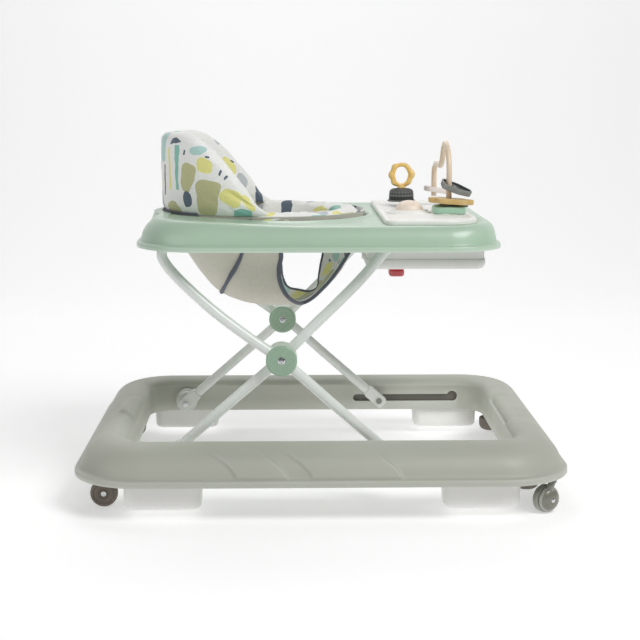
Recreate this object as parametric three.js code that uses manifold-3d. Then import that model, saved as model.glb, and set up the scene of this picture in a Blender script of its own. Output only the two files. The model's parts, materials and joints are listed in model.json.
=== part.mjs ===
// A folding baby walker: a moulded base ring on four wheels, a steel scissor frame on each side,
// and an oval tray that carries a padded seat and a toy panel. The scissor legs lower the tray
// level onto the base.
// Millimetres. +X is the way the child faces, +Y is the child's left, +Z is up.
// The origin is on the floor under the middle of the base.
import * as THREE from "three";
import { mergeVertices } from "three/addons/utils/BufferGeometryUtils.js";
import Module from "manifold-3d";

const wasm = await Module();
wasm.setup();

// ---------------------------------------------------------------- driving dimensions
const FIT = 0.3; // gap between pieces that touch
const WALL = 3; // moulded wall thickness

const BASE = { halfX: 356, halfY: 303, corner: 100, innerX: 282, innerY: 216, innerCorner: 42 };
const BASE_Z = { foot: 50, lipTop: 59, innerFoot: 45 };

const WHEEL = { r: 20, width: 12 };
const REAR_WHEEL = { x: -314, y: 212 };
const CASTER = { x: 328, y: 246, trail: 13, turn: 32, stemR: 4, stemTop: 62, bossR: 8 };
const BLOCK = { x: 225, y: 253, lengthX: 110, widthY: 56, bottom: 11, top: 74, corner: 12 };
const PAD = { x: 300, y: 186, r: 20, bottom: 16, top: 38 };

// Scissor linkage: the two legs of a side cross at CROSS, and their ends are mirror images
// of each other about it, so the tray stays level and the front ends run straight in the slots.
const CROSS = { x: -57.5, z: 211 };
const LOWER = { dx: 165, dz: -145 };
const UPPER = { dx: 162, dz: 166 };
const TUBE_R = 7.5;
const TUBE_WALL = 1.2;
const OUTER_LEG_Y = 199;
const TRAY_HINGE_Y = 188; // the outer legs close in towards their tops
const INNER_LEG_Y = 180;
const HUB = { r: 22.5, outerFace: 209, split: 189.5, innerFace: 170, halfGap: 0.3 };
const PIN_R = 3.2;
const PIN_HOLE_R = 3.6;
const SLOT = { from: 64, to: 240, half: 5.5 };

const PIN_Z = CROSS.z + LOWER.dz;
const REAR_PIN_X = CROSS.x - LOWER.dx;
const SLIDER_X = CROSS.x + LOWER.dx;
const TOP_Z = CROSS.z + UPPER.dz;
const TRAY_HINGE_X = CROSS.x - UPPER.dx;
const CROSSBAR_X = CROSS.x + UPPER.dx;

const TRAY = { x: -4, halfX: 264, halfY: 238, frontCorner: 80, rearCorner: 105 };
const SEAT = { x: -80, halfX: 154, halfY: 148, corner: 146 };
const TRAY_Z = { lip: 370, lipTop: 377.5, hemInner: 396.5 };
const DECK_Z = 403.5;
const TUB = { x0: 65, x1: 240, halfY: 165, bottom: 336.5, top: 366, corner: 16 };
const TONGUE = { x0: 246.5, x1: 250.5, top: 383 };
const LATCH = { x: 121, length: 24, halfY: 15, bottom: 307, travel: 8 };
const RACK = { x0: 84, x1: 232, halfY: 9, bottom: 394.3, notch: 10 };

const BACKREST = { x: -90, r: 148, thick: 26, bottom: 412, halfAngle: 90 };
const COLLAR = { halfX: 140, halfY: 134, thick: 24, bottom: 398, top: 414 };
const PANEL = { z: DECK_Z + FIT, top: 411 };
const KNOB = { x: 133.5, y: 70, z: 418 };
const DOME = { x: 136, y: -55, z: 412.5, r: 21.5, rise: 17, baseR: 30, travel: 4 };
const TRACK = { r: 4.2, nearX: 193, nearY: -80, farX: 186, farY: 75 };

// ---------------------------------------------------------------- helpers
const V2 = (x, y) => new THREE.Vector2(x, y);
const V3 = (x, y, z) => new THREE.Vector3(x, y, z);
const rad = THREE.MathUtils.degToRad;
const mix = THREE.MathUtils.lerp;

function toSolid(geometry) {
  const bare = geometry.clone();
  bare.deleteAttribute("normal");
  bare.deleteAttribute("uv");
  const merged = mergeVertices(bare, 1e-4);
  const make = (triVerts) =>
    new wasm.Manifold(
      new wasm.Mesh({ numProp: 3, vertProperties: merged.attributes.position.array, triVerts }),
    );
  const triVerts = new Uint32Array(merged.index.array);
  const solid = make(triVerts);
  if (solid.volume() > 0) return solid;
  return make(triVerts.map((_, i, all) => all[i - (i % 3) + 2 - (i % 3)]));
}

function toGeometry(solid) {
  const mesh = solid.getMesh();
  const geometry = new THREE.BufferGeometry();
  geometry.setAttribute("position", new THREE.BufferAttribute(mesh.vertProperties, 3));
  geometry.setIndex(new THREE.BufferAttribute(mesh.triVerts, 1));
  geometry.computeVertexNormals();
  return geometry;
}

const moved = (geometry, x, y, z) => geometry.clone().translate(x, y, z);
const join = (...parts) => parts.reduce((a, b) => a.add(b));
const cut = (body, ...tools) => tools.reduce((a, b) => a.subtract(b), body);

// Cylinder between two heights on an axis through (x, y, z); axis is "x", "y" or "z".
function rod(axis, r, from, to, at, sides = 20) {
  const g = new THREE.CylinderGeometry(r, r, to - from, sides);
  if (axis === "x") g.rotateZ(-Math.PI / 2);
  if (axis === "z") g.rotateX(Math.PI / 2);
  const mid = (from + to) / 2;
  const centre = {
    x: V3(mid, at[0], at[1]),
    y: V3(at[0], mid, at[1]),
    z: V3(at[0], at[1], mid),
  }[axis];
  return toSolid(g.translate(centre.x, centre.y, centre.z));
}

function box(x0, x1, y0, y1, z0, z1) {
  const g = new THREE.BoxGeometry(x1 - x0, y1 - y0, z1 - z0);
  return toSolid(moved(g, (x0 + x1) / 2, (y0 + y1) / 2, (z0 + z1) / 2));
}

// Points round a rounded rectangle, anticlockwise, the same number for every size.
function roundedRect(halfX, halfY, frontR, steps = 8, x = 0, rearR = frontR) {
  const points = [];
  [[1, 1], [-1, 1], [-1, -1], [1, -1]].forEach(([sx, sy], quarter) => {
    const r = sx > 0 ? frontR : rearR;
    for (let i = 0; i <= steps; i++) {
      const a = ((quarter + i / steps) * Math.PI) / 2;
      const px = x + sx * (halfX - r) + r * Math.cos(a);
      points.push(V2(px, sy * (halfY - r) + r * Math.sin(a)));
    }
  });
  return points;
}

// A plate with the outline of a rounded rectangle, between two heights, with a small edge bevel.
function plate(outline, z0, z1, bevel = 0) {
  const g = new THREE.ExtrudeGeometry(new THREE.Shape(outline), {
    depth: z1 - z0 - 2 * bevel,
    bevelEnabled: bevel > 0,
    bevelThickness: bevel,
    bevelSize: bevel,
    bevelOffset: -bevel,
    bevelSegments: 1,
    curveSegments: 12,
  });
  return toSolid(g.translate(0, 0, z0 + bevel));
}

// Skins closed sections (arrays of points in order) into one surface. With ring, the last
// section joins the first; otherwise the two ends are closed with flat fans.
function skin(sections, ring) {
  const n = sections[0].length;
  const position = sections.flat().flatMap((p) => [p.x, p.y, p.z]);
  const index = [];
  const last = ring ? sections.length : sections.length - 1;
  for (let i = 0; i < last; i++) {
    const next = (i + 1) % sections.length;
    for (let j = 0; j < n; j++) {
      const k = (j + 1) % n;
      const [a, b, c, d] = [i * n + j, next * n + j, next * n + k, i * n + k];
      index.push(a, b, c, a, c, d);
    }
  }
  if (!ring) {
    const end = (sections.length - 1) * n;
    for (let j = 1; j < n - 1; j++) index.push(0, j, j + 1, end, end + j + 1, end + j);
  }
  const g = new THREE.BufferGeometry();
  g.setAttribute("position", new THREE.Float32BufferAttribute(position, 3));
  g.setIndex(index);
  return toSolid(g);
}

// Lathe about a line through (x, y) along +Z, or along Y when side is 1 or -1.
function turned(profile, sides, x, y, z = 0, side = 0) {
  const g = new THREE.LatheGeometry(profile.map(([r, h]) => V2(r, h)), sides);
  if (side === 0) g.rotateX(Math.PI / 2);
  else if (side < 0) g.rotateX(Math.PI);
  return toSolid(g.translate(x, y, z));
}

// A tube along a path: a hollow one stays open at both ends.
function tube(curve, r, wall, steps, halfSides = 4) {
  const section = new THREE.Shape();
  section.absarc(0, 0, r, 0, 2 * Math.PI);
  const bore = new THREE.Path();
  bore.absarc(0, 0, r - wall, 0, 2 * Math.PI, true);
  if (wall > 0) section.holes.push(bore);
  return toSolid(
    new THREE.ExtrudeGeometry(section, {
      steps,
      curveSegments: halfSides,
      bevelEnabled: false,
      extrudePath: curve,
    }),
  );
}

const root = new THREE.Group();
const PAINT = {
  base: [0xb9bbad, 0.55, 0],
  white: [0xe6e6e2, 0.45, 0],
  tube: [0xe4e8e2, 0.35, 0.1],
  mint: [0xb3d0ba, 0.4, 0],
  hub: [0xa6d3ae, 0.4, 0],
  steel: [0xc9cbcc, 0.25, 1],
  rubber: [0x9b8f86, 0.8, 0],
  wheel: [0x77776c, 0.5, 0],
  print: [0xeceae4, 0.9, 0],
  beige: [0xc9c4b8, 0.9, 0],
  red: [0xc01628, 0.35, 0],
  charcoal: [0x55585a, 0.45, 0],
  yellow: [0xf0c768, 0.4, 0],
  mustard: [0xd3aa4a, 0.45, 0],
  blush: [0xe6d8d0, 0.45, 0],
  peach: [0xf3d9c4, 0.45, 0],
  sand: [0xe4cfb2, 0.45, 0],
};

function piece(name, solid, paint, parent = root) {
  const [color, roughness, metalness] = PAINT[paint];
  const material = new THREE.MeshStandardMaterial({ color, roughness, metalness });
  const mesh = new THREE.Mesh(toGeometry(solid), material);
  mesh.name = name;
  parent.add(mesh);
  return mesh;
}

const SIDES = [["left", 1], ["right", -1]];
const span = (side, a, b) => (side > 0 ? [a, b] : [-b, -a]);

// ---------------------------------------------------------------- base ring
// A point of a rim section: measured in from the outer edge ("o") or out from the inner ("i").
function rimPoint(outer, inner, [from, distance, z], scale) {
  const across = inner.clone().sub(outer);
  const width = across.length();
  const d = distance * scale;
  const p = outer.clone().add(across.multiplyScalar((from === "o" ? d : width - d) / width));
  return V3(p.x, p.y, z);
}

const BASE_TOP = [
  ["o", 0, BASE_Z.foot],
  ["o", 0, BASE_Z.lipTop - 2],
  ["o", 2, BASE_Z.lipTop],
  ["o", 6, BASE_Z.lipTop + 2],
  ["o", 11, 72],
  ["o", 20, 84],
  ["o", 33, 93.5],
  ["o", 48, 100],
  ["i", 24, 101],
  ["i", 8, 98],
  ["i", 1, 92],
  ["i", 0, 87],
  ["i", 0, BASE_Z.innerFoot],
];
const BASE_UNDER = [
  ["i", WALL, BASE_Z.innerFoot],
  ["i", WALL, 87],
  ["i", 10, 94.5],
  ["i", 24, 97.8],
  ["o", 49, 96.8],
  ["o", 35, 90.2],
  ["o", 23, 81],
  ["o", 14.5, 70],
  ["o", WALL + 4, 58],
  ["o", WALL, BASE_Z.foot],
];

function rim(outer, inner, profileAt, fullWidth) {
  return skin(
    outer.map((o, i) => {
      const width = o.distanceTo(inner[i]);
      const scale = Math.min(1, width / fullWidth);
      return profileAt(width, o.x).map((p) => rimPoint(o, inner[i], p, scale));
    }),
    true,
  );
}

function baseShell() {
  const outer = roundedRect(BASE.halfX, BASE.halfY, BASE.corner, 6);
  const inner = roundedRect(BASE.innerX, BASE.innerY, BASE.innerCorner, 6);
  const fullWidth = BASE.halfY - BASE.innerY;
  const shell = rim(outer, inner, () => [...BASE_TOP, ...BASE_UNDER], fullWidth);
  const filled = rim(outer, inner, () => BASE_TOP, fullWidth);
  let body = shell;
  for (const [, side] of SIDES) {
    const at = [CASTER.x, side * CASTER.y];
    const boss = rod("z", CASTER.bossR, BASE_Z.foot + 2, 100, at, 16).intersect(filled);
    body = join(body, boss);
    body = cut(body, rod("z", CASTER.stemR + 0.3, 40, CASTER.stemTop + 0.5, at, 16));
    const [y0, y1] = span(side, BASE.innerY - 2, BASE.innerY + WALL + 2);
    const slotEnds = [SLOT.from + SLOT.half, SLOT.to - SLOT.half];
    body = cut(
      body,
      box(...slotEnds, y0, y1, PIN_Z - SLOT.half, PIN_Z + SLOT.half),
      ...slotEnds.map((x) => rod("y", SLOT.half, y0, y1, [x, PIN_Z], 16)),
      rod("y", 7.5, y0, y1, [SLOT.to - 8, PIN_Z + 1], 16),
      rod("y", PIN_HOLE_R, y0, y1, [REAR_PIN_X, PIN_Z], 16),
    );
  }
  return body;
}
piece("base_shell", baseShell(), "base");

// ---------------------------------------------------------------- stop blocks and pads
for (const [endName, end] of [["front", 1], ["rear", -1]]) {
  for (const [sideName, side] of SIDES) {
    const top = roundedRect(BLOCK.lengthX / 2, BLOCK.widthY / 2, BLOCK.corner, 4);
    const sections = [
      [BLOCK.bottom, 7],
      [BLOCK.bottom + 2, 4],
      [BLOCK.bottom + 7, 2],
      [BLOCK.top, 0],
    ].map(([z, inset]) =>
      top.map((p) => {
        const sx = 1 - inset / (BLOCK.lengthX / 2);
        const sy = 1 - inset / (BLOCK.widthY / 2);
        return V3(end * BLOCK.x + p.x * sx, side * BLOCK.y + p.y * sy, z);
      }),
    );
    piece(`stop_block_${endName}_${sideName}`, skin(sections, false), "white");
  }
}

for (const [sideName, side] of SIDES) {
  const pad = turned(
    [
      [0, PAD.bottom],
      [10, PAD.bottom + 1],
      [17, PAD.bottom + 5],
      [PAD.r, PAD.bottom + 12],
      [PAD.r, PAD.top],
      [8, PAD.top],
      [8, 93],
      [0, 93],
    ],
    20,
    PAD.x,
    side * PAD.y,
  );
  piece(`front_stop_pad_${sideName}`, pad, "rubber");
}

// ---------------------------------------------------------------- wheels
// Wheel profile from the middle of its hub outwards, along its axle.
function wheel(boreR) {
  const w = WHEEL.width / 2;
  return [
    [boreR, -w],
    [WHEEL.r - 3, -w],
    [WHEEL.r - 0.6, -w + 2],
    [WHEEL.r, 0],
    [WHEEL.r - 0.6, w - 2],
    [WHEEL.r - 3, w],
    [boreR, w],
    [boreR, -w],
  ];
}

const AXLE_R = 2.6;
for (const [sideName, side] of SIDES) {
  const { x, y } = REAR_WHEEL;
  const inboard = y - WHEEL.width / 2;
  const cheek = span(side, inboard - 6, inboard - 1.5);
  const bracket = cut(
    join(
      box(x - 8, x + 8, ...cheek, WHEEL.r, 85.5),
      rod("y", 8, ...cheek, [x, WHEEL.r], 16),
      box(x - 11, x + 11, ...span(side, inboard - 16, inboard + 14), 80, 85.5),
    ),
    rod("y", AXLE_R + 0.1, ...span(side, y - 20, y + 20), [x, WHEEL.r], 16),
  );
  piece(`rear_wheel_bracket_${sideName}`, bracket, "wheel");
  const head = span(side, y + WHEEL.width / 2 + 0.4, y + WHEEL.width / 2 + 1.6);
  const axle = join(
    rod("y", AXLE_R, ...span(side, inboard - 8, y + WHEEL.width / 2 + 1), [x, WHEEL.r], 16),
    rod("y", 4, ...head, [x, WHEEL.r], 16),
  );
  piece(`rear_wheel_axle_${sideName}`, axle, "steel");
  const turnedWheel = turned(wheel(AXLE_R + 0.3), 22, x, side * y, WHEEL.r, side);
  piece(`rear_wheel_${sideName}`, turnedWheel, "rubber");
}

// A caster, built with its stem on the local Z axis, its wheel trailing along local +X and its
// domed cap on the local Y side given by side.
for (const [sideName, side] of SIDES) {
  const group = new THREE.Group();
  group.position.set(CASTER.x, side * CASTER.y, 0);
  group.rotation.z = side > 0 ? rad(180 - CASTER.turn) : rad(180 + CASTER.turn);
  root.add(group);
  // With the wheel trailing rearwards and outwards, the cap faces outwards and forwards.
  const out = side > 0 ? -1 : 1;
  const near = WHEEL.width / 2 + 1;
  const dome = turned(
    [
      [0, near],
      [18.5, near],
      [18.5, near + 1.5],
      [15.5, near + 6.5],
      [10, near + 9.5],
      [0, near + 11],
    ],
    20,
    CASTER.trail,
    0,
    WHEEL.r,
    out,
  );
  const fork = cut(
    join(
      rod("z", CASTER.stemR, 42, CASTER.stemTop, [0, 0], 16),
      rod("z", 7, 41, 47, [0, 0], 16),
      box(-5, 6, ...span(out, -4, near + 5), 41, 45),
      box(-3, 10, ...span(out, near + 0.5, near + 5), WHEEL.r + 2, 45),
      dome,
    ),
    rod("y", AXLE_R + 0.1, ...span(out, -30, near + 5), [CASTER.trail, WHEEL.r], 16),
  );
  piece(`caster_fork_${sideName}`, fork, "wheel", group);
  const axle = join(
    rod("y", AXLE_R, ...span(out, -near - 1, near + 4.5), [CASTER.trail, WHEEL.r], 16),
    rod("y", 4, ...span(out, -near - 2, -near - 0.5), [CASTER.trail, WHEEL.r], 16),
  );
  piece(`caster_axle_${sideName}`, axle, "steel", group);
  const turnedWheel = turned(wheel(AXLE_R + 0.3), 22, CASTER.trail, 0, WHEEL.r, out);
  piece(`caster_wheel_${sideName}`, turnedWheel, "wheel", group);
}

// ---------------------------------------------------------------- scissor legs
// Both legs are drawn in the X-Z plane about the crossing pin; way is +1 for the inner leg,
// which rises forwards, and -1 for the outer leg, which rises rearwards.
const END_BACK = 22; // from the lower pin to the end of the tube

function legPoints(way) {
  const slope = Math.hypot(LOWER.dx, LOWER.dz);
  const along = (d) => V2(-way * (LOWER.dx / slope) * d, (LOWER.dz / slope) * d);
  const at = (dx, dz) => V2(way * dx, dz);
  return [
    along(slope - END_BACK),
    along(slope * 0.5),
    along(0),
    at(way > 0 ? 48 : 50, way > 0 ? 48 : 35.5),
    at(way > 0 ? 82 : 94.5, way > 0 ? 81 : 70),
    at(way > 0 ? 116 : 133, way > 0 ? 116 : 104),
    at(way > 0 ? 136 : 156, way > 0 ? 139 : 127),
    at(way > 0 ? 148 : 168, way > 0 ? 153 : 148),
  ];
}

const lift = (p, y) => V3(CROSS.x + p.x, y, CROSS.z + p.y);

function outerLegTube(side) {
  const points = [...legPoints(-1), V2(-UPPER.dx, UPPER.dz), V2(-UPPER.dx, UPPER.dz + 9)];
  const path = points.map((p) => {
    const rise = THREE.MathUtils.smoothstep(p.y, 60, UPPER.dz - 12);
    return lift(p, side * mix(OUTER_LEG_Y, TRAY_HINGE_Y, rise));
  });
  return tube(new THREE.CatmullRomCurve3(path), TUBE_R, TUBE_WALL, 19);
}

function innerLegTube() {
  const half = legPoints(1);
  const corner = 24;
  const leg = half.map((p) => lift(p, INNER_LEG_Y));
  const bend = [
    V3(CROSSBAR_X, INNER_LEG_Y - 7, TOP_Z - 3),
    V3(CROSSBAR_X, INNER_LEG_Y - corner, TOP_Z),
    V3(CROSSBAR_X, INNER_LEG_Y * 0.5, TOP_Z),
  ];
  const one = [...leg, ...bend];
  const other = one.map((p) => V3(p.x, -p.y, p.z)).reverse();
  const curve = new THREE.CatmullRomCurve3([...one, ...other]);
  return tube(curve, TUBE_R, TUBE_WALL, 46);
}

const crossHole = (side) =>
  rod("y", 3.3, ...span(side, 160, 220), [CROSS.x, CROSS.z], 12);
const hingeHole = (side) =>
  rod("y", 3.3, ...span(side, 155, 230), [TRAY_HINGE_X, TOP_Z], 12);

piece("inner_leg_tube", cut(innerLegTube(), crossHole(1), crossHole(-1)), "tube");
for (const [sideName, side] of SIDES) {
  const legTube = cut(outerLegTube(side), crossHole(side), hingeHole(side));
  piece(`outer_leg_tube_${sideName}`, legTube, "tube");
}

// The moulded foot on a tube's lower end, with a socket for the tube and a hole for the pin.
function legFoot(way, side, legY) {
  const foot = new THREE.Shape(roundedRect(18, 10, 5, 3, 6));
  const g = new THREE.ExtrudeGeometry(foot, { depth: 17, bevelEnabled: false });
  g.translate(-10, 0, -8.5); // the pin is 10 from the foot's tip
  const socket = new THREE.CylinderGeometry(TUBE_R + FIT, TUBE_R + FIT, 60, 16);
  socket.rotateZ(-Math.PI / 2).translate(END_BACK - 0.5 + 30, 0, 0);
  const hole = new THREE.CylinderGeometry(PIN_HOLE_R, PIN_HOLE_R, 40, 16).rotateX(Math.PI / 2);
  const angle = Math.atan2(-LOWER.dz, LOWER.dx);
  const pinX = CROSS.x - way * LOWER.dx;
  const set = (part) =>
    toSolid(
      part
        .rotateX(Math.PI / 2)
        .rotateY(way > 0 ? -angle : -(Math.PI - angle))
        .translate(pinX, side * legY, PIN_Z),
    );
  return cut(set(g.translate(14, 0, 0)), set(socket), set(hole));
}

for (const [sideName, side] of SIDES) {
  piece(`inner_leg_foot_${sideName}`, legFoot(1, side, INNER_LEG_Y), "tube");
  piece(`outer_leg_foot_${sideName}`, legFoot(-1, side, OUTER_LEG_Y), "tube");
}

// Each hub half is a disc clamped round its own leg at the crossing.
function hubHalf(way, side) {
  const outer = way < 0;
  const from = outer ? HUB.split + HUB.halfGap : HUB.innerFace;
  const to = outer ? HUB.outerFace : HUB.split - HUB.halfGap;
  const disc = rod("y", HUB.r, ...span(side, from, to), [CROSS.x, CROSS.z], 28);
  const y = side * (outer ? OUTER_LEG_Y : INNER_LEG_Y);
  const reach = legPoints(way).slice(0, 5).map((p) => lift(p, y));
  const clearance = tube(new THREE.CatmullRomCurve3(reach), TUBE_R + FIT + 0.3, 0, 10, 4);
  return cut(disc, clearance, crossHole(side));
}

for (const [sideName, side] of SIDES) {
  piece(`pivot_hub_outer_${sideName}`, hubHalf(-1, side), "hub");
  piece(`pivot_hub_inner_${sideName}`, hubHalf(1, side), "hub");
  const at = [CROSS.x, CROSS.z];
  const screw = join(
    rod("y", 3, ...span(side, HUB.innerFace - 3, HUB.outerFace + 1), at, 16),
    rod("y", 5.6, ...span(side, HUB.outerFace + FIT, HUB.outerFace + 2), at, 16),
    rod("y", 5, ...span(side, HUB.innerFace - 3, HUB.innerFace - FIT), at, 16),
  );
  piece(`pivot_screw_${sideName}`, screw, "steel");
}

// The rear ends turn on bosses fixed to the base; the front ends carry sliders in the slots.
for (const [sideName, side] of SIDES) {
  const boss = cut(
    rod("y", 17, ...span(side, 190, BASE.innerY - FIT), [REAR_PIN_X, PIN_Z], 24),
    rod("y", PIN_HOLE_R, ...span(side, 180, 230), [REAR_PIN_X, PIN_Z], 16),
  );
  piece(`rear_pivot_boss_${sideName}`, boss, "tube");
  const pin = join(
    rod("y", PIN_R, ...span(side, 168, 222), [REAR_PIN_X, PIN_Z], 16),
    rod("y", 5, ...span(side, 168, 171), [REAR_PIN_X, PIN_Z], 16),
    rod("y", 6, ...span(side, BASE.innerY + WALL + FIT, 224.3), [REAR_PIN_X, PIN_Z], 16),
  );
  piece(`rear_pivot_pin_${sideName}`, pin, "steel");
  const slider = join(
    rod("y", PIN_R, ...span(side, 188, 222), [SLIDER_X, PIN_Z], 16),
    rod("y", 5, ...span(side, 187.2, 190.1), [SLIDER_X, PIN_Z], 16),
    rod("y", 9, ...span(side, 208.3, BASE.innerY - 0.6), [SLIDER_X, PIN_Z], 20),
    rod("y", SLOT.half - 0.5, ...span(side, 208.3, 224), [SLIDER_X, PIN_Z], 16),
    rod("y", 9, ...span(side, BASE.innerY + WALL + 0.6, 224.3), [SLIDER_X, PIN_Z], 20),
  );
  piece(`slot_slider_${sideName}`, slider, "wheel");
}

// ---------------------------------------------------------------- tray
// The rim's section changes with its width: where it is wide, in front of the seat, the middle
// drops to a flat deck for the toy panel.
// Its crown sinks towards the front, by the position x along the rim.
function trayProfile(width, x) {
  const deck = THREE.MathUtils.clamp((width - 100) / 60, 0, 1);
  const front = THREE.MathUtils.smoothstep(x, -205, -15);
  const low = (crowned, flat) => mix(crowned, flat, deck);
  const crown = (rear, ahead) => mix(rear, ahead, front);
  const top = [
    ["o", 0, TRAY_Z.lip],
    ["o", 0, TRAY_Z.lipTop - 1.5],
    ["o", 1.5, TRAY_Z.lipTop],
    ["o", 4.5, TRAY_Z.lipTop + 1],
    ["o", 7, 386],
    ["o", low(12, 11), crown(398, 396)],
    ["o", low(20, 18), crown(406.5, 402.5)],
    ["o", low(31, 25), low(crown(411.5, 405.2), 405.5)],
    ["o", low(46, 31), low(crown(412, 407.5), DECK_Z)],
    ["i", low(22, 13), low(crown(411, 404.5), DECK_Z)],
    ["i", low(10, 7), low(crown(411.3, 406), 406.5)],
    ["i", 3, low(crown(409.5, 405.5), 406)],
    ["i", 0, low(crown(406, 403), 403)],
    ["i", 0, TRAY_Z.hemInner],
  ];
  const under = [
    ["i", 3, TRAY_Z.hemInner],
    ["i", 4, low(crown(404, 401), 401)],
    ["i", low(11, 9), low(crown(408.3, 402.8), 402.8)],
    ["i", low(24, 14), low(crown(408, 401.3), DECK_Z - WALL)],
    ["o", low(46, 33), low(crown(409, 404.3), DECK_Z - WALL)],
    ["o", low(33, 26), low(crown(408, 402), 401.8)],
    ["o", low(23, 20), crown(403, 399)],
    ["o", 14.5, crown(395, 393.5)],
    ["o", 10, 385],
    ["o", 7, TRAY_Z.lipTop - 2.5],
    ["o", WALL, TRAY_Z.lip],
  ];
  return [...top, ...under];
}

const trayShell = rim(
  roundedRect(TRAY.halfX, TRAY.halfY, TRAY.frontCorner, 7, TRAY.x, TRAY.rearCorner),
  roundedRect(SEAT.halfX, SEAT.halfY, SEAT.corner, 7, SEAT.x),
  trayProfile,
  90,
);
piece("tray_shell", trayShell, "mint");

for (const [sideName, side] of SIDES) {
  const x = TRAY_HINGE_X;
  const bracket = cut(
    box(x - 12, x + 12, ...span(side, TRAY_HINGE_Y - 24, TRAY_HINGE_Y - 8), TOP_Z - 10, TOP_Z + 20),
    hingeHole(side),
  );
  piece(`tray_hinge_bracket_${sideName}`, bracket, "wheel");
  const pin = join(
    rod("y", 3, ...span(side, TRAY_HINGE_Y - 27, TRAY_HINGE_Y + 9), [x, TOP_Z], 16),
    rod("y", 5, ...span(side, TRAY_HINGE_Y - 27, TRAY_HINGE_Y - 24.3), [x, TOP_Z], 16),
  );
  piece(`tray_hinge_pin_${sideName}`, pin, "steel");
}

// The white housing under the deck, open at the top, with a slot in its floor for the latch.
const tubMidX = (TUB.x0 + TUB.x1) / 2;
const tubHalfX = (TUB.x1 - TUB.x0) / 2;
function tubSections(inset, z0, z1) {
  return [[z0, inset + 8], [z0 + 3, inset + 3], [z0 + 9, inset], [z1, inset]].map(([z, d]) =>
    roundedRect(tubHalfX - d, TUB.halfY - d, TUB.corner, 4, tubMidX).map((p) => V3(p.x, p.y, z)),
  );
}
const latchHole = { x0: LATCH.x - 9 - LATCH.travel, x1: LATCH.x + 9, halfY: 7 };
// Its rear wall follows the seat opening up to the hem, and a tongue in front holds it to the
// deck; the crossbar passes over its other walls.
const seatRound = (r, z0, z1) => rod("z", r, z0, z1, [SEAT.x, 0], 56);
const rearWall = cut(
  box(TUB.x0, 80, -56, 56, TUB.top - 4, TRAY_Z.hemInner - FIT),
  seatRound(SEAT.halfX + 0.5, 300, 450),
).intersect(seatRound(SEAT.halfX + 3.5, 300, 450));
const housing = join(
  cut(
    skin(tubSections(0, TUB.bottom, TUB.top), false),
    seatRound(SEAT.halfX + 0.5, 300, 450),
    cut(
      skin(tubSections(2.5, TUB.bottom + 2.5, TUB.top + 5), false),
      seatRound(SEAT.halfX + 3.5, 300, 450),
    ),
    box(latchHole.x0, latchHole.x1, -latchHole.halfY, latchHole.halfY, 330, 350),
  ),
  rearWall,
  box(TUB.x1 - 2.5, TONGUE.x1, -80, 80, TUB.top - 3, TUB.top),
  box(TONGUE.x0, TONGUE.x1, -80, 80, TUB.top - 3, TONGUE.top),
);
piece("height_housing", housing, "white");

const teeth = [0, 1, 2, 3].map((i) => {
  const x = RACK.x0 + 6 + i * 2 * RACK.notch;
  return box(x, x + RACK.notch, -RACK.halfY, RACK.halfY, RACK.bottom, RACK.bottom + 3);
});
const rack = cut(
  box(RACK.x0, RACK.x1, -RACK.halfY, RACK.halfY, RACK.bottom, DECK_Z - WALL - FIT),
  ...teeth.map((t) => t.translate([0, 0, -1])),
);
piece("notch_rack", rack, "wheel");

// The shoe clamps round the crossbar and keeps it square in the tray.
const shoe = cut(
  box(CROSSBAR_X - 11, CROSSBAR_X + 11, -22, 22, TOP_Z - 10, RACK.bottom - 0.8),
  rod("y", TUBE_R + FIT, -30, 30, [CROSSBAR_X, TOP_Z], 16),
);
piece("crossbar_shoe", shoe, "wheel");

const latchTop = TUB.bottom - FIT - 0.2;
const latch = join(
  plate(roundedRect(LATCH.length / 2, LATCH.halfY, 4, 3, LATCH.x), LATCH.bottom, latchTop, 1.5),
  box(LATCH.x - 7, LATCH.x + 7, -5, 5, latchTop - 1, TUB.bottom + 6),
  box(LATCH.x - 7, LATCH.x + 7, -11, 11, TUB.bottom + 3.2, TUB.bottom + 8),
);
piece("release_latch", latch, "red");

// ---------------------------------------------------------------- seat
// A point at an angle round from the rear of an ellipse with the given half-lengths.
const seatArc = (x, angle, halfX, halfY = halfX) =>
  V2(x - halfX * Math.cos(rad(angle)), halfY * Math.sin(rad(angle)));

// Height of the backrest's top edge by angle from the rear: level behind, then falling to the
// front of the wings.
function backrestTop(angle) {
  const a = Math.abs(angle);
  const heights = [
    [0, 530],
    [40, 530],
    [50, 524],
    [60, 509],
    [68, 493],
    [76, 474],
    [83, 455],
    [90, 433],
  ];
  const i = heights.findIndex(([limit]) => a <= limit);
  if (i <= 0) return heights[0][1];
  const [[a0, z0], [a1, z1]] = [heights[i - 1], heights[i]];
  return mix(z0, z1, (a - a0) / (a1 - a0));
}

function backrest() {
  const sections = [];
  const steps = 26;
  for (let i = 0; i <= steps; i++) {
    const angle = mix(-BACKREST.halfAngle, BACKREST.halfAngle, i / steps);
    const top = backrestTop(angle);
    const inner = BACKREST.r - BACKREST.thick;
    sections.push(
      [
        [inner + 4, BACKREST.bottom],
        [BACKREST.r - 3, BACKREST.bottom],
        [BACKREST.r, BACKREST.bottom + 6],
        [BACKREST.r, top - 9],
        [BACKREST.r - 7, top],
        [inner + 8, top],
        [inner, top - 9],
        [inner, BACKREST.bottom + 6],
      ].map(([r, z]) => {
        const p = seatArc(BACKREST.x, angle, r);
        return V3(p.x, p.y, z);
      }),
    );
  }
  return skin(sections, false);
}
piece("backrest_pad", backrest(), "print");

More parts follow.
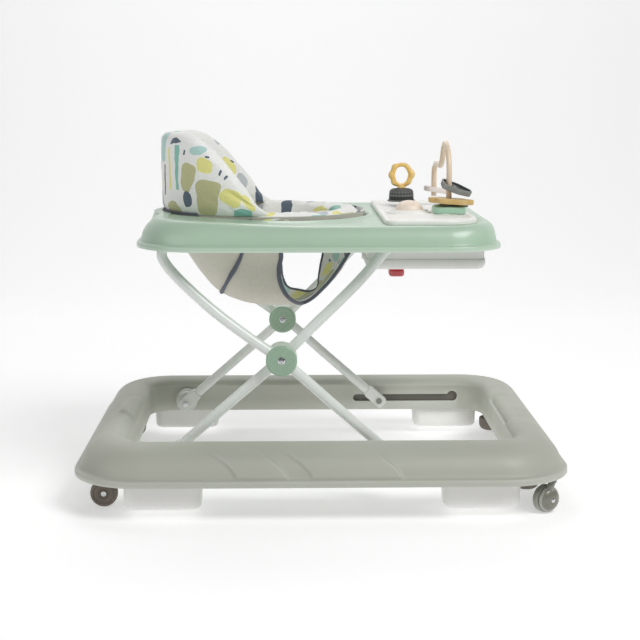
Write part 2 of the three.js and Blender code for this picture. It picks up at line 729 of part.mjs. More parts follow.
function collar() {
  const sections = [];
  const steps = 26;
  for (let i = 0; i <= steps; i++) {
    const angle = mix(89, 271, i / steps);
    sections.push(
      [
        [COLLAR.thick - 5, COLLAR.bottom],
        [4, COLLAR.bottom],
        [0.5, COLLAR.bottom + 4],
        [0, COLLAR.top - 4],
        [5, COLLAR.top],
        [COLLAR.thick - 7, COLLAR.top],
        [COLLAR.thick, COLLAR.top - 5],
        [COLLAR.thick, COLLAR.bottom + 5],
      ].map(([inset, z]) => {
        const p = seatArc(SEAT.x, angle, COLLAR.halfX - inset, COLLAR.halfY - inset);
        return V3(p.x, p.y, z);
      }),
    );
  }
  return skin(sections.reverse(), false);
}
piece("seat_collar", collar(), "print");

// The fabric bucket: rear and front edge and half width at each height, outside.
const BUCKET = [
  [411.5, -231.5, 71.5, 145.5],
  [394, -226, 66, 140],
  [370, -217, 58, 134],
  [340, -199, 47, 124],
  [312, -179, 30, 118],
  [290, -158, 8, 106],
  [274, -125, -20, 84],
];
const BUCKET_WALL = 4;

function bucketRing([z, rear, front, half], inset) {
  const count = 24;
  const points = [];
  for (let i = 0; i < count; i++) {
    const a = (i / count) * 2 * Math.PI;
    const power = z > 400 ? 1 : 0.88; // an ellipse at the hem, squarer below it
    const sx = Math.sign(Math.cos(a)) * Math.abs(Math.cos(a)) ** power;
    const sy = Math.sign(Math.sin(a)) * Math.abs(Math.sin(a)) ** power;
    const x = (rear + front) / 2 + ((front - rear) / 2 - inset) * sx;
    points.push(V3(x, (half - inset) * sy, z));
  }
  return points;
}

function bucket() {
  const bottomX = -72;
  const outside = BUCKET.map((row) => bucketRing(row, 0));
  const floor = bucketRing([265.5, bottomX - 24, bottomX + 24, 50], 0);
  const inside = BUCKET.map(([z, ...rest]) => bucketRing([z + 2, ...rest], BUCKET_WALL));
  const outer = skin([...outside, floor], false);
  const innerFloor = bucketRing([270.5, bottomX - 24, bottomX + 24, 48], 0);
  const inner = skin([...inside, innerFloor], false);
  const hole = new THREE.Shape([
    V2(-58, 386),
    V2(-64, 352),
    V2(-66, 322),
    V2(-56, 297),
    V2(-30, 281),
    V2(-4, 288),
    V2(20, 314),
    V2(36, 350),
    V2(42, 386),
  ]);
  const holes = SIDES.map(([, side]) => {
    const g = new THREE.ExtrudeGeometry(hole, { depth: 150, bevelEnabled: false });
    g.rotateX(Math.PI / 2); // the shape's Y becomes Z, and its depth runs along -Y
    return toSolid(g.translate(0, side > 0 ? 202 : -52, 0));
  });
  return cut(outer, inner, ...holes);
}
piece("seat_bucket", bucket(), "beige");

// ---------------------------------------------------------------- toys
function toyPanel() {
  const outline = new THREE.Shape();
  outline.moveTo(91, -181);
  outline.quadraticCurveTo(91, -195, 105, -195);
  outline.lineTo(176, -195);
  outline.quadraticCurveTo(222, -190, 227, -145);
  outline.lineTo(227, 145);
  outline.quadraticCurveTo(222, 190, 176, 195);
  outline.lineTo(105, 195);
  outline.quadraticCurveTo(91, 195, 91, 181);
  outline.lineTo(91, -181);
  const board = plate(outline.getPoints(5), PANEL.z, PANEL.top, 1.2);
  const knobSeat = turned(
    [
      [0, PANEL.top - 2],
      [24, PANEL.top - 2],
      [24, PANEL.top + 4],
      [22.5, KNOB.z - 0.6],
      [0, KNOB.z - 0.6],
    ],
    24,
    KNOB.x,
    KNOB.y,
  );
  const dial = turned(
    [
      [0, PANEL.top - 2],
      [DOME.baseR, PANEL.top - 2],
      [DOME.baseR, PANEL.top + 1],
      [DOME.baseR - 4, PANEL.top + 3],
      [0, PANEL.top + 3],
    ],
    28,
    DOME.x,
    DOME.y,
  );
  const well = [DOME.z - DOME.travel - 0.5, PANEL.top + 9];
  const dialWell = rod("z", DOME.r + 0.8, ...well, [DOME.x, DOME.y], 28);
  const farFoot = turned(
    [
      [0, PANEL.top - 2],
      [14, PANEL.top - 2],
      [14, PANEL.top + 8],
      [11, PANEL.top + 13],
      [5.5, PANEL.top + 16],
      [0, PANEL.top + 16],
    ],
    18,
    TRACK.farX,
    TRACK.farY,
  );
  return cut(join(board, knobSeat, dial, farFoot), dialWell);
}
piece("toy_panel", toyPanel(), "white");

const trackCurve = new THREE.CatmullRomCurve3(
  [
    [TRACK.nearX, TRACK.nearY, PANEL.top + FIT],
    [TRACK.nearX, TRACK.nearY, 450],
    [TRACK.nearX, TRACK.nearY + 1, 483],
    [TRACK.nearX - 1, -64, 506],
    [TRACK.nearX - 2, -42, 514.3],
    [191, -24, 507],
    [190, -9, 488],
    [189.5, 5, 479],
    [189, 22, 477.7],
    [188.5, 40, 479],
    [187, 58, 477],
    [TRACK.farX, 72, 468],
    [TRACK.farX, TRACK.farY, 455],
    [TRACK.farX, TRACK.farY, PANEL.top + 16 + FIT],
  ].map((p) => V3(...p)),
);
piece("bead_track", tube(trackCurve, TRACK.r, 0, 36, 4), "sand");

const knob = turned(
  [
    [0, KNOB.z],
    [22, KNOB.z],
    [22, KNOB.z + 3],
    [20, KNOB.z + 4],
    [19, KNOB.z + 13],
    [16, KNOB.z + 18],
    [11, KNOB.z + 21],
    [0, KNOB.z + 21],
  ],
  28,
  KNOB.x,
  KNOB.y,
);
piece("twist_knob", knob, "charcoal");

const RING = { r: 15.5, tube: 4.2, z: KNOB.z + 41.7 };
const ring = join(
  toSolid(
    new THREE.TorusGeometry(RING.r, RING.tube, 7, 20)
      .rotateX(Math.PI / 2)
      .translate(KNOB.x, KNOB.y, RING.z),
  ),
  rod("z", 6, KNOB.z + 21 + FIT, RING.z - RING.r, [KNOB.x, KNOB.y], 14),
  ...[[-12, 13], [17.5, 2], [-18, -1]].map(([dx, dz]) =>
    toSolid(new THREE.SphereGeometry(5.4, 7, 5).translate(KNOB.x + dx, KNOB.y, RING.z + dz)),
  ),
);
piece("teether_ring", ring, "yellow");

const domeProfile = [
  [0, 0],
  [1, 0],
  [1, 0.2],
  [0.88, 0.52],
  [0.6, 0.84],
  [0.28, 0.98],
  [0, 1],
].map(([r, h]) => [DOME.r * r, DOME.z + DOME.rise * h]);
const dome = turned(domeProfile, 24, DOME.x, DOME.y);
piece("dome_button", dome, "peach");

// Flat beads threaded on the track: outlines in their own plane, with the thread hole at (0, 0).
const petals = (count, r, wave, stretch, shiftX) =>
  Array.from({ length: 40 }, (_, i) => {
    const a = (i / 40) * 2 * Math.PI;
    const k = r * (1 + wave * Math.cos(count * a));
    return V2(shiftX + stretch * k * Math.cos(a), k * Math.sin(a));
  });

function bead(name, outline, thick, holeR, paint, at, tiltDeg = 0, rollDeg = 0) {
  const shape = new THREE.Shape(outline);
  const hole = new THREE.Path();
  hole.absarc(0, 0, holeR, 0, 2 * Math.PI, true);
  shape.holes.push(hole);
  const g = new THREE.ExtrudeGeometry(shape, { depth: thick, bevelEnabled: false, curveSegments: 8 });
  const mesh = piece(name, toSolid(g.translate(0, 0, -thick / 2)), paint);
  mesh.position.set(...at);
  mesh.rotation.set(rad(rollDeg), rad(tiltDeg), 0);
}
const nearLeg = [TRACK.nearX, TRACK.nearY];
bead("bead_mint", roundedRect(25.5, 17, 7, 3, 0.5), 8.5, 5.6, "hub", [...nearLeg, 418.8]);
bead("bead_mustard", petals(6, 21, 0.09, 1.5, 3.5), 8.5, 5.6, "mustard", [...nearLeg, 429.2]);
bead("bead_charcoal", petals(2, 17, 0.1, 1.3, 13.6), 9, 7.5, "charcoal", [...nearLeg, 452.5], 21, 14);
bead("bead_blush", petals(1, 15, 0, 1, -0.5), 7.5, 6.6, "blush", [TRACK.farX, TRACK.farY, 436.5], 7);

export default root;
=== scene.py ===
"""Looks of a folding baby walker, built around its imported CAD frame.

Sizes are in millimetres until mesh_piece() turns them into metres. Places come from the boxes of
the CAD nodes and from the joints. +X is the way the child faces and +Z is up.
"""
import json
import math

import bmesh
import bpy
import numpy as np
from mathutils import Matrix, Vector, noise


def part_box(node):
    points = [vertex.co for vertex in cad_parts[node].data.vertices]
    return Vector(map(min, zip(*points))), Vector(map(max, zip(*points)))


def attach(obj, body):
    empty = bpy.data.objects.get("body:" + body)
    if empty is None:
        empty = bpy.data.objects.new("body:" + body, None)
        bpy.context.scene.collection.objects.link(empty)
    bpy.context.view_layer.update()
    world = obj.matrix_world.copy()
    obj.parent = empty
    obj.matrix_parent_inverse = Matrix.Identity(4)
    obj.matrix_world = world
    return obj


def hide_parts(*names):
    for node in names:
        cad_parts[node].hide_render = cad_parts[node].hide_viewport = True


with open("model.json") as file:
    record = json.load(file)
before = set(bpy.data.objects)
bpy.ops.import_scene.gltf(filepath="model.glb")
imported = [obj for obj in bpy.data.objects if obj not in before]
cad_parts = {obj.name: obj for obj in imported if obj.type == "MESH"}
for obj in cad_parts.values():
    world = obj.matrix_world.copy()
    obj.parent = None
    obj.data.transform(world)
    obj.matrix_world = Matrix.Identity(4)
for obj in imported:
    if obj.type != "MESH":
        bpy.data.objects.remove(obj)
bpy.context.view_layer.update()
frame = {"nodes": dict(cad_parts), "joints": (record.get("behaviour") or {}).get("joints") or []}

MM = 0.001
SIDES = (("left", 1), ("right", -1))
JOINT_AT = {j["name"]: np.array(j["pos_m"]) / MM for j in frame["joints"] if "pos_m" in j}


# ---------------------------------------------------------------- measuring the frame
def box_of(node):
    """Lowest and highest corner of a CAD node, in mm."""
    low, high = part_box(node)
    return np.array(low) / MM, np.array(high) / MM


def middle_of(node):
    low, high = box_of(node)
    return (low + high) / 2


# ---------------------------------------------------------------- curves and meshes
def smooth_path(points, count):
    """Points spread evenly along a smooth curve through the given ones."""
    p = np.array(points, float)
    t = np.r_[0, np.cumsum(np.linalg.norm(np.diff(p, axis=0), axis=1))]
    slope = np.gradient(p, t, axis=0)
    u = np.linspace(0, t[-1], count)
    i = np.clip(np.searchsorted(t, u, side="right") - 1, 0, len(t) - 2)
    h = (t[i + 1] - t[i])[:, None]
    s = (u - t[i])[:, None] / h
    return (
        p[i] * (2 * s**3 - 3 * s**2 + 1)
        + p[i + 1] * (3 * s**2 - 2 * s**3)
        + slope[i] * h * (s**3 - 2 * s**2 + s)
        + slope[i + 1] * h * (s**3 - s**2)
    )


def smoothstep(low, high, x):
    t = np.clip((np.asarray(x, float) - low) / (high - low), 0, 1)
    return t * t * (3 - 2 * t)


def lattice(rows, cols, ring_rows=False, ring_cols=True):
    """Quads over a grid of rows of points."""
    faces = []
    for i in range(rows if ring_rows else rows - 1):
        for j in range(cols if ring_cols else cols - 1):
            below = ((i + 1) % rows) * cols
            beside = (j + 1) % cols
            faces.append((i * cols + j, i * cols + beside, below + beside, below + j))
    return faces


def skin(sections, ring=False):
    """One closed surface over closed sections, with flat ends unless they join in a ring."""
    sections = np.asarray(sections, float)
    rows, cols = sections.shape[:2]
    faces = lattice(rows, cols, ring_rows=ring)
    if not ring:
        faces += [tuple(range(cols)), tuple(range((rows - 1) * cols, rows * cols))]
    return sections.reshape(-1, 3), faces


def joined(*meshes):
    """Several (points, faces) as one."""
    points, faces, start = [], [], 0
    for some_points, some_faces in meshes:
        points.append(np.asarray(some_points, float))
        faces += [tuple(v + start for v in face) for face in some_faces]
        start += len(some_points)
    return np.concatenate(points), faces


def path_frames(path, closed):
    """A tangent and two normals at each point of a path, turning as little as possible."""
    if closed:
        tangents = np.roll(path, -1, 0) - np.roll(path, 1, 0)
    else:
        tangents = np.gradient(path, axis=0)
    tangents /= np.linalg.norm(tangents, axis=1)[:, None]
    least = np.eye(3)[np.argmin(abs(tangents[0]))]
    normal = np.cross(tangents[0], least)
    normals = []
    for tangent in tangents:
        normal = normal - tangent * (normal @ tangent)
        normal = normal / np.linalg.norm(normal)
        normals.append(normal)
    normals = np.array(normals)
    if closed:
        end = normals[-1] - tangents[0] * (normals[-1] @ tangents[0])
        twist = math.atan2(np.cross(end, normals[0]) @ tangents[0], end @ normals[0])
        turn = np.linspace(0, twist, len(path))[:, None]
        across = np.cross(tangents, normals)
        normals = normals * np.cos(turn) + across * np.sin(turn)
    return normals, np.cross(tangents, normals)


def sweep(path, radius, sides=20, closed=False, flat=1.0):
    """A round rod along a path; flat narrows it along its second normal."""
    path = np.asarray(path, float)
    first, second = path_frames(path, closed)
    angle = np.linspace(0, 2 * math.pi, sides, endpoint=False)
    radius = np.broadcast_to(radius, len(path))[:, None, None]
    ring = (
        np.cos(angle)[None, :, None] * first[:, None]
        + flat * np.sin(angle)[None, :, None] * second[:, None]
    )
    return skin(path[:, None] + radius * ring, ring=closed)


AXES = {
    "x": ((0, 1, 0), (0, 0, 1), (1, 0, 0)),
    "y": ((0, 0, 1), (1, 0, 0), (0, 1, 0)),
    "z": ((1, 0, 0), (0, 1, 0), (0, 0, 1)),
}


def revolve(profile, centre, axis="z", sides=48, relief=None):
    """A turned shape from (radius, height) points, from its first height to its last.

    relief(row, angle) gives an extra radius, for ridges. A point with no radius closes an end.
    """
    u, v, along = (np.array(a, float) for a in (AXES[axis] if isinstance(axis, str) else axis))
    centre = np.array(centre, float)
    angle = np.linspace(0, 2 * math.pi, sides, endpoint=False)
    points, faces, previous = [], [], None
    for row, (radius, height) in enumerate(profile):
        start = len(points)
        if radius <= 0:
            points.append(centre + along * height)
            current = [start] * sides
        else:
            extra = relief(row, angle) if relief else np.zeros(sides)
            for a, e in zip(angle, extra):
                rim = (u * math.cos(a) + v * math.sin(a)) * (radius + e)
                points.append(centre + rim + along * height)
            current = list(range(start, start + sides))
        if previous is not None:
            for j in range(sides):
                k = (j + 1) % sides
                corners = (previous[j], previous[k], current[k], current[j])
                faces.append(tuple(dict.fromkeys(corners)))
        previous = current
    return np.array(points), faces


def relief_disc(radius, centre, axis, height, rings=18, sides=72, depth=4.0):
    """A disc whose face has the height that height(x, y) gives, with a flat back."""
    u, v, along = (np.array(a, float) for a in axis)
    centre = np.array(centre, float)
    angle = np.linspace(0, 2 * math.pi, sides, endpoint=False)
    points = [centre + along * height(0.0, 0.0)]
    for ring in range(1, rings + 1):
        r = radius * ring / rings
        for a in angle:
            x, y = r * math.cos(a), r * math.sin(a)
            points.append(centre + u * x + v * y + along * height(x, y))
    for a in angle:
        rim = (u * math.cos(a) + v * math.sin(a)) * radius
        points.append(centre + rim - along * depth)
    faces = [(0, 1 + j, 1 + (j + 1) % sides) for j in range(sides)]
    for ring in range(rings):
        near, far = 1 + ring * sides, 1 + (ring + 1) * sides
        for j in range(sides):
            k = (j + 1) % sides
            faces.append((near + j, near + k, far + k, far + j))
    faces.append(tuple(1 + rings * sides + j for j in range(sides)))
    return np.array(points), faces


def rounded_outline(half_x, half_y, front_r, rear_r=None, centre_x=0.0, counts=(12, 2, 2)):
    """Points and outward normals round a rounded rectangle, anticlockwise from its +X side.

    counts are the steps in a corner, on a side along X, and on a side along Y.
    """
    rear_r = front_r if rear_r is None else rear_r
    corner, along_x, along_y = counts
    points, normals = [], []
    for quarter, (sx, sy) in enumerate(((1, 1), (-1, 1), (-1, -1), (1, -1))):
        r = front_r if sx > 0 else rear_r
        cx, cy = centre_x + sx * (half_x - r), sy * (half_y - r)
        for i in range(corner + 1):
            a = (quarter + i / corner) * math.pi / 2
            points.append((cx + r * math.cos(a), cy + r * math.sin(a)))
            normals.append((math.cos(a), math.sin(a)))
        steps = along_y if quarter % 2 else along_x
        next_sx, next_sy = ((-1, 1), (-1, -1), (1, -1), (1, 1))[quarter]
        next_r = front_r if next_sx > 0 else rear_r
        a = (quarter + 1) * math.pi / 2
        start = np.array(points[-1])
        end = np.array((
            centre_x + next_sx * (half_x - next_r) + next_r * math.cos(a),
            next_sy * (half_y - next_r) + next_r * math.sin(a),
        ))
        for i in range(1, steps):
            points.append(tuple(start + (end - start) * i / steps))
            normals.append((math.cos(a), math.sin(a)))
    return np.array(points), np.array(normals)


def lay_cloth(mesh, uv, inside=None):
    """Gives each corner its place on the cloth, from its point's; inside has other places, and
    the faces that take them."""
    corner_points = np.zeros(len(mesh.loops), np.int32)
    mesh.loops.foreach_get("vertex_index", corner_points)
    places = np.asarray(uv, float)[corner_points]
    if inside is not None:
        inner_uv, inner_faces = inside
        sizes = np.zeros(len(mesh.polygons), np.int32)
        mesh.polygons.foreach_get("loop_total", sizes)
        chosen = np.repeat(np.asarray(inner_faces, bool), sizes)
        places[chosen] = np.asarray(inner_uv, float)[corner_points][chosen]
    layer = mesh.uv_layers.new(name="cloth")
    layer.data.foreach_set("uv", (places * MM).ravel())


def mesh_piece(name, shape, materials, body, nodes=(), angle=35, uv=None,
               uv_inside=None, faces_of=None):
    """A mesh riding on a CAD body and standing for CAD nodes.

    uv gives a place on the cloth for each point, and faces_of the material of each face.
    """
    points, faces = shape
    mesh = bpy.data.meshes.new(name)
    mesh.from_pydata((np.asarray(points) * MM).tolist(), [], faces)
    materials = materials if isinstance(materials, (list, tuple)) else [materials]
    for material in materials:
        mesh.materials.append(material)
    if faces_of is not None:
        mesh.polygons.foreach_set("material_index", np.asarray(faces_of, np.int32))
    bm = bmesh.new()
    bm.from_mesh(mesh)
    bmesh.ops.recalc_face_normals(bm, faces=bm.faces)
    bm.to_mesh(mesh)
    bm.free()
    if uv is not None:
        lay_cloth(mesh, uv, uv_inside)
    mesh.shade_smooth()
    if angle:
        mesh.set_sharp_from_angle(angle=math.radians(angle))
    obj = bpy.data.objects.new(name, mesh)
    bpy.context.scene.collection.objects.link(obj)
    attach(obj, body)
    if nodes:
        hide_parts(*nodes)
    return obj


def apply_modifiers(obj):
    bpy.context.view_layer.update()
    evaluated = obj.evaluated_get(bpy.context.evaluated_depsgraph_get())
    mesh = bpy.data.meshes.new_from_object(evaluated)
    obj.modifiers.clear()
    obj.data = mesh


def cut_out(obj, shape, material=None):
    """Cuts a closed shape out of a piece."""
    points, faces = shape
    mesh = bpy.data.meshes.new("cutter")
    mesh.from_pydata((np.asarray(points) * MM).tolist(), [], faces)
    bm = bmesh.new()
    bm.from_mesh(mesh)
    bmesh.ops.recalc_face_normals(bm, faces=bm.faces)
    bm.to_mesh(mesh)
    bm.free()
    mesh.materials.append(material or obj.data.materials[0])
    cutter = bpy.data.objects.new("cutter", mesh)
    bpy.context.scene.collection.objects.link(cutter)
    modifier = obj.modifiers.new("cut", "BOOLEAN")
    modifier.operation = "DIFFERENCE"
    modifier.solver = "EXACT"
    modifier.object = cutter
    apply_modifiers(obj)
    bpy.data.objects.remove(cutter)


def dress(node, material, bevel=0.0, angle=35):
    """Shows a CAD node as it is, with a finished material and softened edges."""
    obj = frame["nodes"][node]
    obj.data.materials.clear()
    obj.data.materials.append(material)
    weld = obj.modifiers.new("weld", "WELD")
    weld.merge_threshold = 0.00002
    if bevel:
        rounding = obj.modifiers.new("rounding", "BEVEL")
        rounding.width = bevel * MM
        rounding.segments = 3
        rounding.limit_method = "ANGLE"
        rounding.angle_limit = math.radians(angle)
    obj.data.shade_smooth()
    return obj


# ---------------------------------------------------------------- materials
def srgb(red, green, blue):
    """A screen colour as the linear one a shader takes."""
    def linear(value):
        value /= 255
        return value / 12.92 if value <= 0.04045 else ((value + 0.055) / 1.055) ** 2.4
    return (linear(red), linear(green), linear(blue), 1.0)


class Shader:
    """A material's node tree, with short names for the nodes that this script uses."""

    def __init__(self, name):
        self.material = bpy.data.materials.new(name)
        self.material.use_nodes = True
        self.tree = self.material.node_tree
        self.surface = self.tree.nodes["Principled BSDF"]

    def node(self, kind, inputs=(), **settings):
        made = self.tree.nodes.new("ShaderNode" + kind)
        for key, value in settings.items():
            setattr(made, key, value)
        for socket, value in dict(inputs).items():
            if isinstance(value, bpy.types.NodeSocket):
                self.tree.links.new(value, made.inputs[socket])
            else:
                made.inputs[socket].default_value = value
        return made

    def math(self, operation, a, b=0.0):
        return self.node("Math", {0: a, 1: b}, operation=operation).outputs[0]

    def mix(self, factor, a, b, blend="MIX"):
        made = self.node("Mix", {0: factor, 6: a, 7: b}, data_type="RGBA", blend_type=blend)
        return made.outputs[2]

    def noise(self, scale, detail=2.0, where=None):
        where = where or self.node("TexCoord").outputs["Object"]
        inputs = {"Vector": where, "Scale": scale, "Detail": detail}
        return self.node("TexNoise", inputs).outputs["Fac"]

    def spread(self, value, low, high):
        """A value from 0.3 to 0.7, as noise gives, spread between two numbers."""
        inputs = {"Value": value, "From Min": 0.3, "From Max": 0.7, "To Min": low, "To Max": high}
        return self.node("MapRange", inputs).outputs[0]

    def bump(self, height, strength, distance, normal=None):
        inputs = {"Height": height, "Strength": strength, "Distance": distance}
        if normal:
            inputs["Normal"] = normal
        return self.node("Bump", inputs).outputs[0]

    def set(self, **inputs):
        for socket, value in inputs.items():
            target = self.surface.inputs[socket.replace("_", " ")]
            if isinstance(value, bpy.types.NodeSocket):
                self.tree.links.new(value, target)
            else:
                target.default_value = value


def shade(color, factor):
    return tuple(c * factor for c in color[:3]) + (1.0,)


def plastic(name, color, rough=0.4, grain=900.0, grain_depth=0.00004, coat=0.0, worn=0.06):
    """Moulded plastic: a fine grain, slightly uneven gloss, and edges a little paler."""
    s = Shader(name)
    tone = s.spread(s.noise(7.0, 4.0), 0.0, 1.0)
    color = s.mix(tone, shade(color, 1 - worn / 2), shade(color, 1 + worn / 2))
    edge = s.node("NewGeometry").outputs["Pointiness"]
    inputs = {"Value": edge, "From Min": 0.51, "From Max": 0.58, "To Min": 0.0, "To Max": 0.35}
    paler = s.node("MapRange", inputs).outputs[0]
    s.set(
        Base_Color=s.mix(paler, color, (0.86, 0.88, 0.84, 1)),
        Roughness=s.spread(s.noise(35.0, 3.0), rough - 0.05, rough + 0.07),
        Normal=s.bump(s.noise(grain, 3.0), 0.35, grain_depth),
        Coat_Weight=coat,
        Coat_Roughness=0.15,
    )
    return s.material


def painted_tube(name, color):
    """Powder-coated steel, with the faint orange peel of the coat."""
    s = Shader(name)
    tone = s.spread(s.noise(12.0, 3.0), 0.0, 1.0)
    s.set(
        Base_Color=s.mix(tone, shade(color, 0.96), shade(color, 1.02)),
        Roughness=s.spread(s.noise(60.0, 2.0), 0.22, 0.32),
        Normal=s.bump(s.noise(420.0, 2.0), 0.25, 0.00006),
        Coat_Weight=0.5,
        Coat_Roughness=0.12,
    )
    return s.material


def metal(name, color, rough):
    """Plated steel with fine turning marks."""
    s = Shader(name)
    s.set(
        Base_Color=s.mix(s.noise(80.0, 4.0), shade(color, 0.85), color),
        Metallic=1.0,
        Roughness=s.spread(s.noise(240.0, 3.0), rough - 0.04, rough + 0.1),
        Normal=s.bump(s.noise(1500.0, 2.0), 0.2, 0.00003),
    )
    return s.material


def rubber(name, color):
    """Matt rubber with a dusty, slightly uneven skin."""
    s = Shader(name)
    dust = s.spread(s.noise(45.0, 6.0), 0.0, 1.0)
    s.set(
        Base_Color=s.mix(dust, shade(color, 0.9), shade(color, 1.08)),
        Roughness=s.spread(s.noise(90.0, 3.0), 0.62, 0.82),
        Normal=s.bump(s.noise(700.0, 4.0), 0.5, 0.00012),
    )
    return s.material


OLIVE = srgb(204, 202, 156)
YELLOW = srgb(245, 240, 156)
TEAL = srgb(146, 204, 190)
AQUA = srgb(190, 224, 219)
SLATE = srgb(100, 112, 128)
GREY = srgb(206, 210, 214)
STRIPE = srgb(128, 124, 134)

# The print: shapes on a tile, in mm. The first 240 across are what the outside of a wing of the
# backrest shows, from the middle of the back to the front of the wing; the rest is its inside.
# Each has a colour, a centre, half lengths, a turn in degrees, a power that goes from a diamond
# at 1 and an ellipse at 2 to a square, and a taper.
TILE = (480.0, 160.0)
PRINT = (
    (AQUA, 46, 113, 13, 26, -12, 3, 0),
    (YELLOW, 73.5, 77.5, 3.6, 31, 2, 8, 0.0),
    (TEAL, 94, 81, 4.6, 31, -1, 8, -0.3),
    (STRIPE, 51, 61, 3.2, 24, 1, 8, 0),
    (SLATE, 90, 119, 11, 4.5, 6, 2.5, 0.6),
    (OLIVE, 119, 66, 13.5, 20, -14, 3, -0.25),
    (SLATE, 118, 36, 9.5, 12.5, 6, 2.2, 0.0),
    (OLIVE, 155, 37, 18, 27, -5, 4, -0.28),
    (OLIVE, 78, 18, 20, 12, 6, 2.6, 0.3),
    (YELLOW, 151, 84, 14, 11, -10, 2.6, 0),
    (YELLOW, 194, 41, 17, 12, -24, 2.6, 0.2),
    (YELLOW, 219, 33, 14, 6, -52, 2.4, 0),
    (TEAL, 209, 13, 14, 10, -3, 6, 0),
    (AQUA, 139, 106, 14, 7, 4, 2.0, 0),
    (GREY, 30, 30, 11, 15, 20, 2.0, 0),
    (TEAL, 18, 92, 9, 18, -8, 5, 0.3),
    (YELLOW, 14, 55, 12, 9, 30, 2.6, 0),
    (SLATE, 111.8, 101.5, 2.2, 4, -15, 4, 0),
    (SLATE, 157, 97, 4, 1.6, 5, 4, 0),
    (SLATE, 178, 75, 2.2, 4, -30, 4, 0),
    (SLATE, 130, 9, 4, 1.6, 20, 4, 0),
    (SLATE, 188, 68, 3.8, 1.5, 35, 4, 0),
    (SLATE, 349, 96, 19, 9, -22, 6, -0.2),
    (YELLOW, 406, 74, 20, 10, -36, 2.8, 0.1),
    (GREY, 434, 50, 9, 14, 28, 2.0, 0),
    (SLATE, 467, 23, 7, 19, 4, 2.2, 0),
    (OLIVE, 336, 112, 16, 6, -16, 2.8, 0),
    (SLATE, 417, 79, 4, 1.6, -30, 4, 0),
    (SLATE, 389, 74, 3.6, 1.6, -20, 4, 0),
    (TEAL, 372, 30, 16, 12, 12, 6, 0),
    (OLIVE, 300, 60, 14, 22, 10, 3, 0.25),
    (TEAL, 262, 100, 6, 26, 3, 8, 0.2),
    (YELLOW, 284, 20, 16, 10, 20, 2.6, 0),
    (SLATE, 330, 28, 8, 12, -20, 2.4, 0),
    (AQUA, 258, 36, 12, 12, 15, 2.4, 0),
    (YELLOW, 410, 20, 14, 8, -15, 2.6, 0),
    (SLATE, 300, 118, 4, 1.6, 30, 4, 0),
    (GREY, 395, 118, 16, 9, 10, 2.2, 0),
)


def weave(s, cloth):
    """The height of a plain weave, one thread every 0.45 mm."""
    threads = []
    for direction in ("X", "Y"):
        inputs = {"Vector": cloth, "Scale": 350.0, "Distortion": 0.6, "Detail": 1.0}
        threads.append(s.node("TexWave", inputs, bands_direction=direction).outputs["Fac"])
    return s.math("MULTIPLY", threads[0], threads[1])


def cloth_finish(s, cloth, color):
    """What both cloths share: weave, soft slubs, a little sheen."""
    slub = s.spread(s.noise(260.0, 4.0, cloth), 0.94, 1.03)
    color = s.mix(1.0, color, s.node("CombineColor", {0: slub, 1: slub, 2: slub}).outputs[0],
                  "MULTIPLY")
    coarse = s.bump(s.noise(38.0, 3.0), 0.35, 0.0016)
    s.set(
        Base_Color=color,
        Roughness=s.spread(s.noise(120.0, 3.0, cloth), 0.82, 0.95),
        Normal=s.bump(weave(s, cloth), 0.4, 0.00025, coarse),
        Sheen_Weight=0.25,
        Sheen_Roughness=0.5,
        Specular_IOR_Level=0.25,
    )
    return s.material


def printed_cloth(name, ground, shift=(0.0, 0.0)):
    """White cloth with the print, each shape's outline slightly wavering."""
    s = Shader(name)
    cloth = s.node("UVMap", uv_map="cloth").outputs[0]
    wavering = s.node("TexNoise", {"Vector": cloth, "Scale": 45.0, "Detail": 1.0}).outputs["Color"]
    wavering = s.node("VectorMath", {0: wavering, 1: (0.5, 0.5, 0.5)}, operation="SUBTRACT")
    wavering = s.node("VectorMath", {0: wavering.outputs[0], 3: 9.0}, operation="SCALE").outputs[0]
    in_mm = s.node("VectorMath", {0: cloth, 3: 1 / MM}, operation="SCALE").outputs[0]
    in_mm = s.node("VectorMath", {0: in_mm, 1: (*shift, 0)}, operation="ADD").outputs[0]
    in_tile = s.node("VectorMath", {0: in_mm, 1: (*TILE, 1e4), 2: (0, 0, -1)}, operation="WRAP")
    place = s.node("VectorMath", {0: in_tile.outputs[0], 1: wavering}, operation="ADD").outputs[0]
    color = ground
    for ink, x, y, half_x, half_y, turn, power, taper in PRINT:
        inputs = {
            "Vector": place,
            "Location": (x, y, 0),
            "Rotation": (0, 0, math.radians(turn)),
            "Scale": (half_x, half_y, 1),
        }
        local = s.node("Mapping", inputs, vector_type="TEXTURE").outputs[0]
        axes = s.node("SeparateXYZ", {0: local})
        across, up = axes.outputs[0], axes.outputs[1]
        if taper:
            across = s.math("MULTIPLY", across, s.math("ADD", s.math("MULTIPLY", up, taper), 1.0))
        reach = s.math(
            "ADD",
            s.math("POWER", s.math("ABSOLUTE", across), power),
            s.math("POWER", s.math("ABSOLUTE", up), power),
        )
        color = s.mix(s.math("LESS_THAN", reach, 1.0), color, ink)
    return cloth_finish(s, cloth, color)


def plain_cloth(name, color):
    s = Shader(name)
    cloth = s.node("UVMap", uv_map="cloth").outputs[0]
    tone = s.spread(s.noise(9.0, 4.0), 0.0, 1.0)
    return cloth_finish(s, cloth, s.mix(tone, shade(color, 0.95), shade(color, 1.04)))


def binding(name, color):
    """Piping: a bias-cut tape, its thread running round the cord."""
    s = Shader(name)
    where = s.node("TexCoord").outputs["Object"]
    s.set(
        Base_Color=s.mix(s.noise(500.0, 3.0), shade(color, 0.85), shade(color, 1.12)),
        Roughness=0.9,
        Normal=s.bump(s.node("TexWave", {"Vector": where, "Scale": 420.0}).outputs["Fac"],
                      0.5, 0.0003),
        Sheen_Weight=0.2,
    )
    return s.material


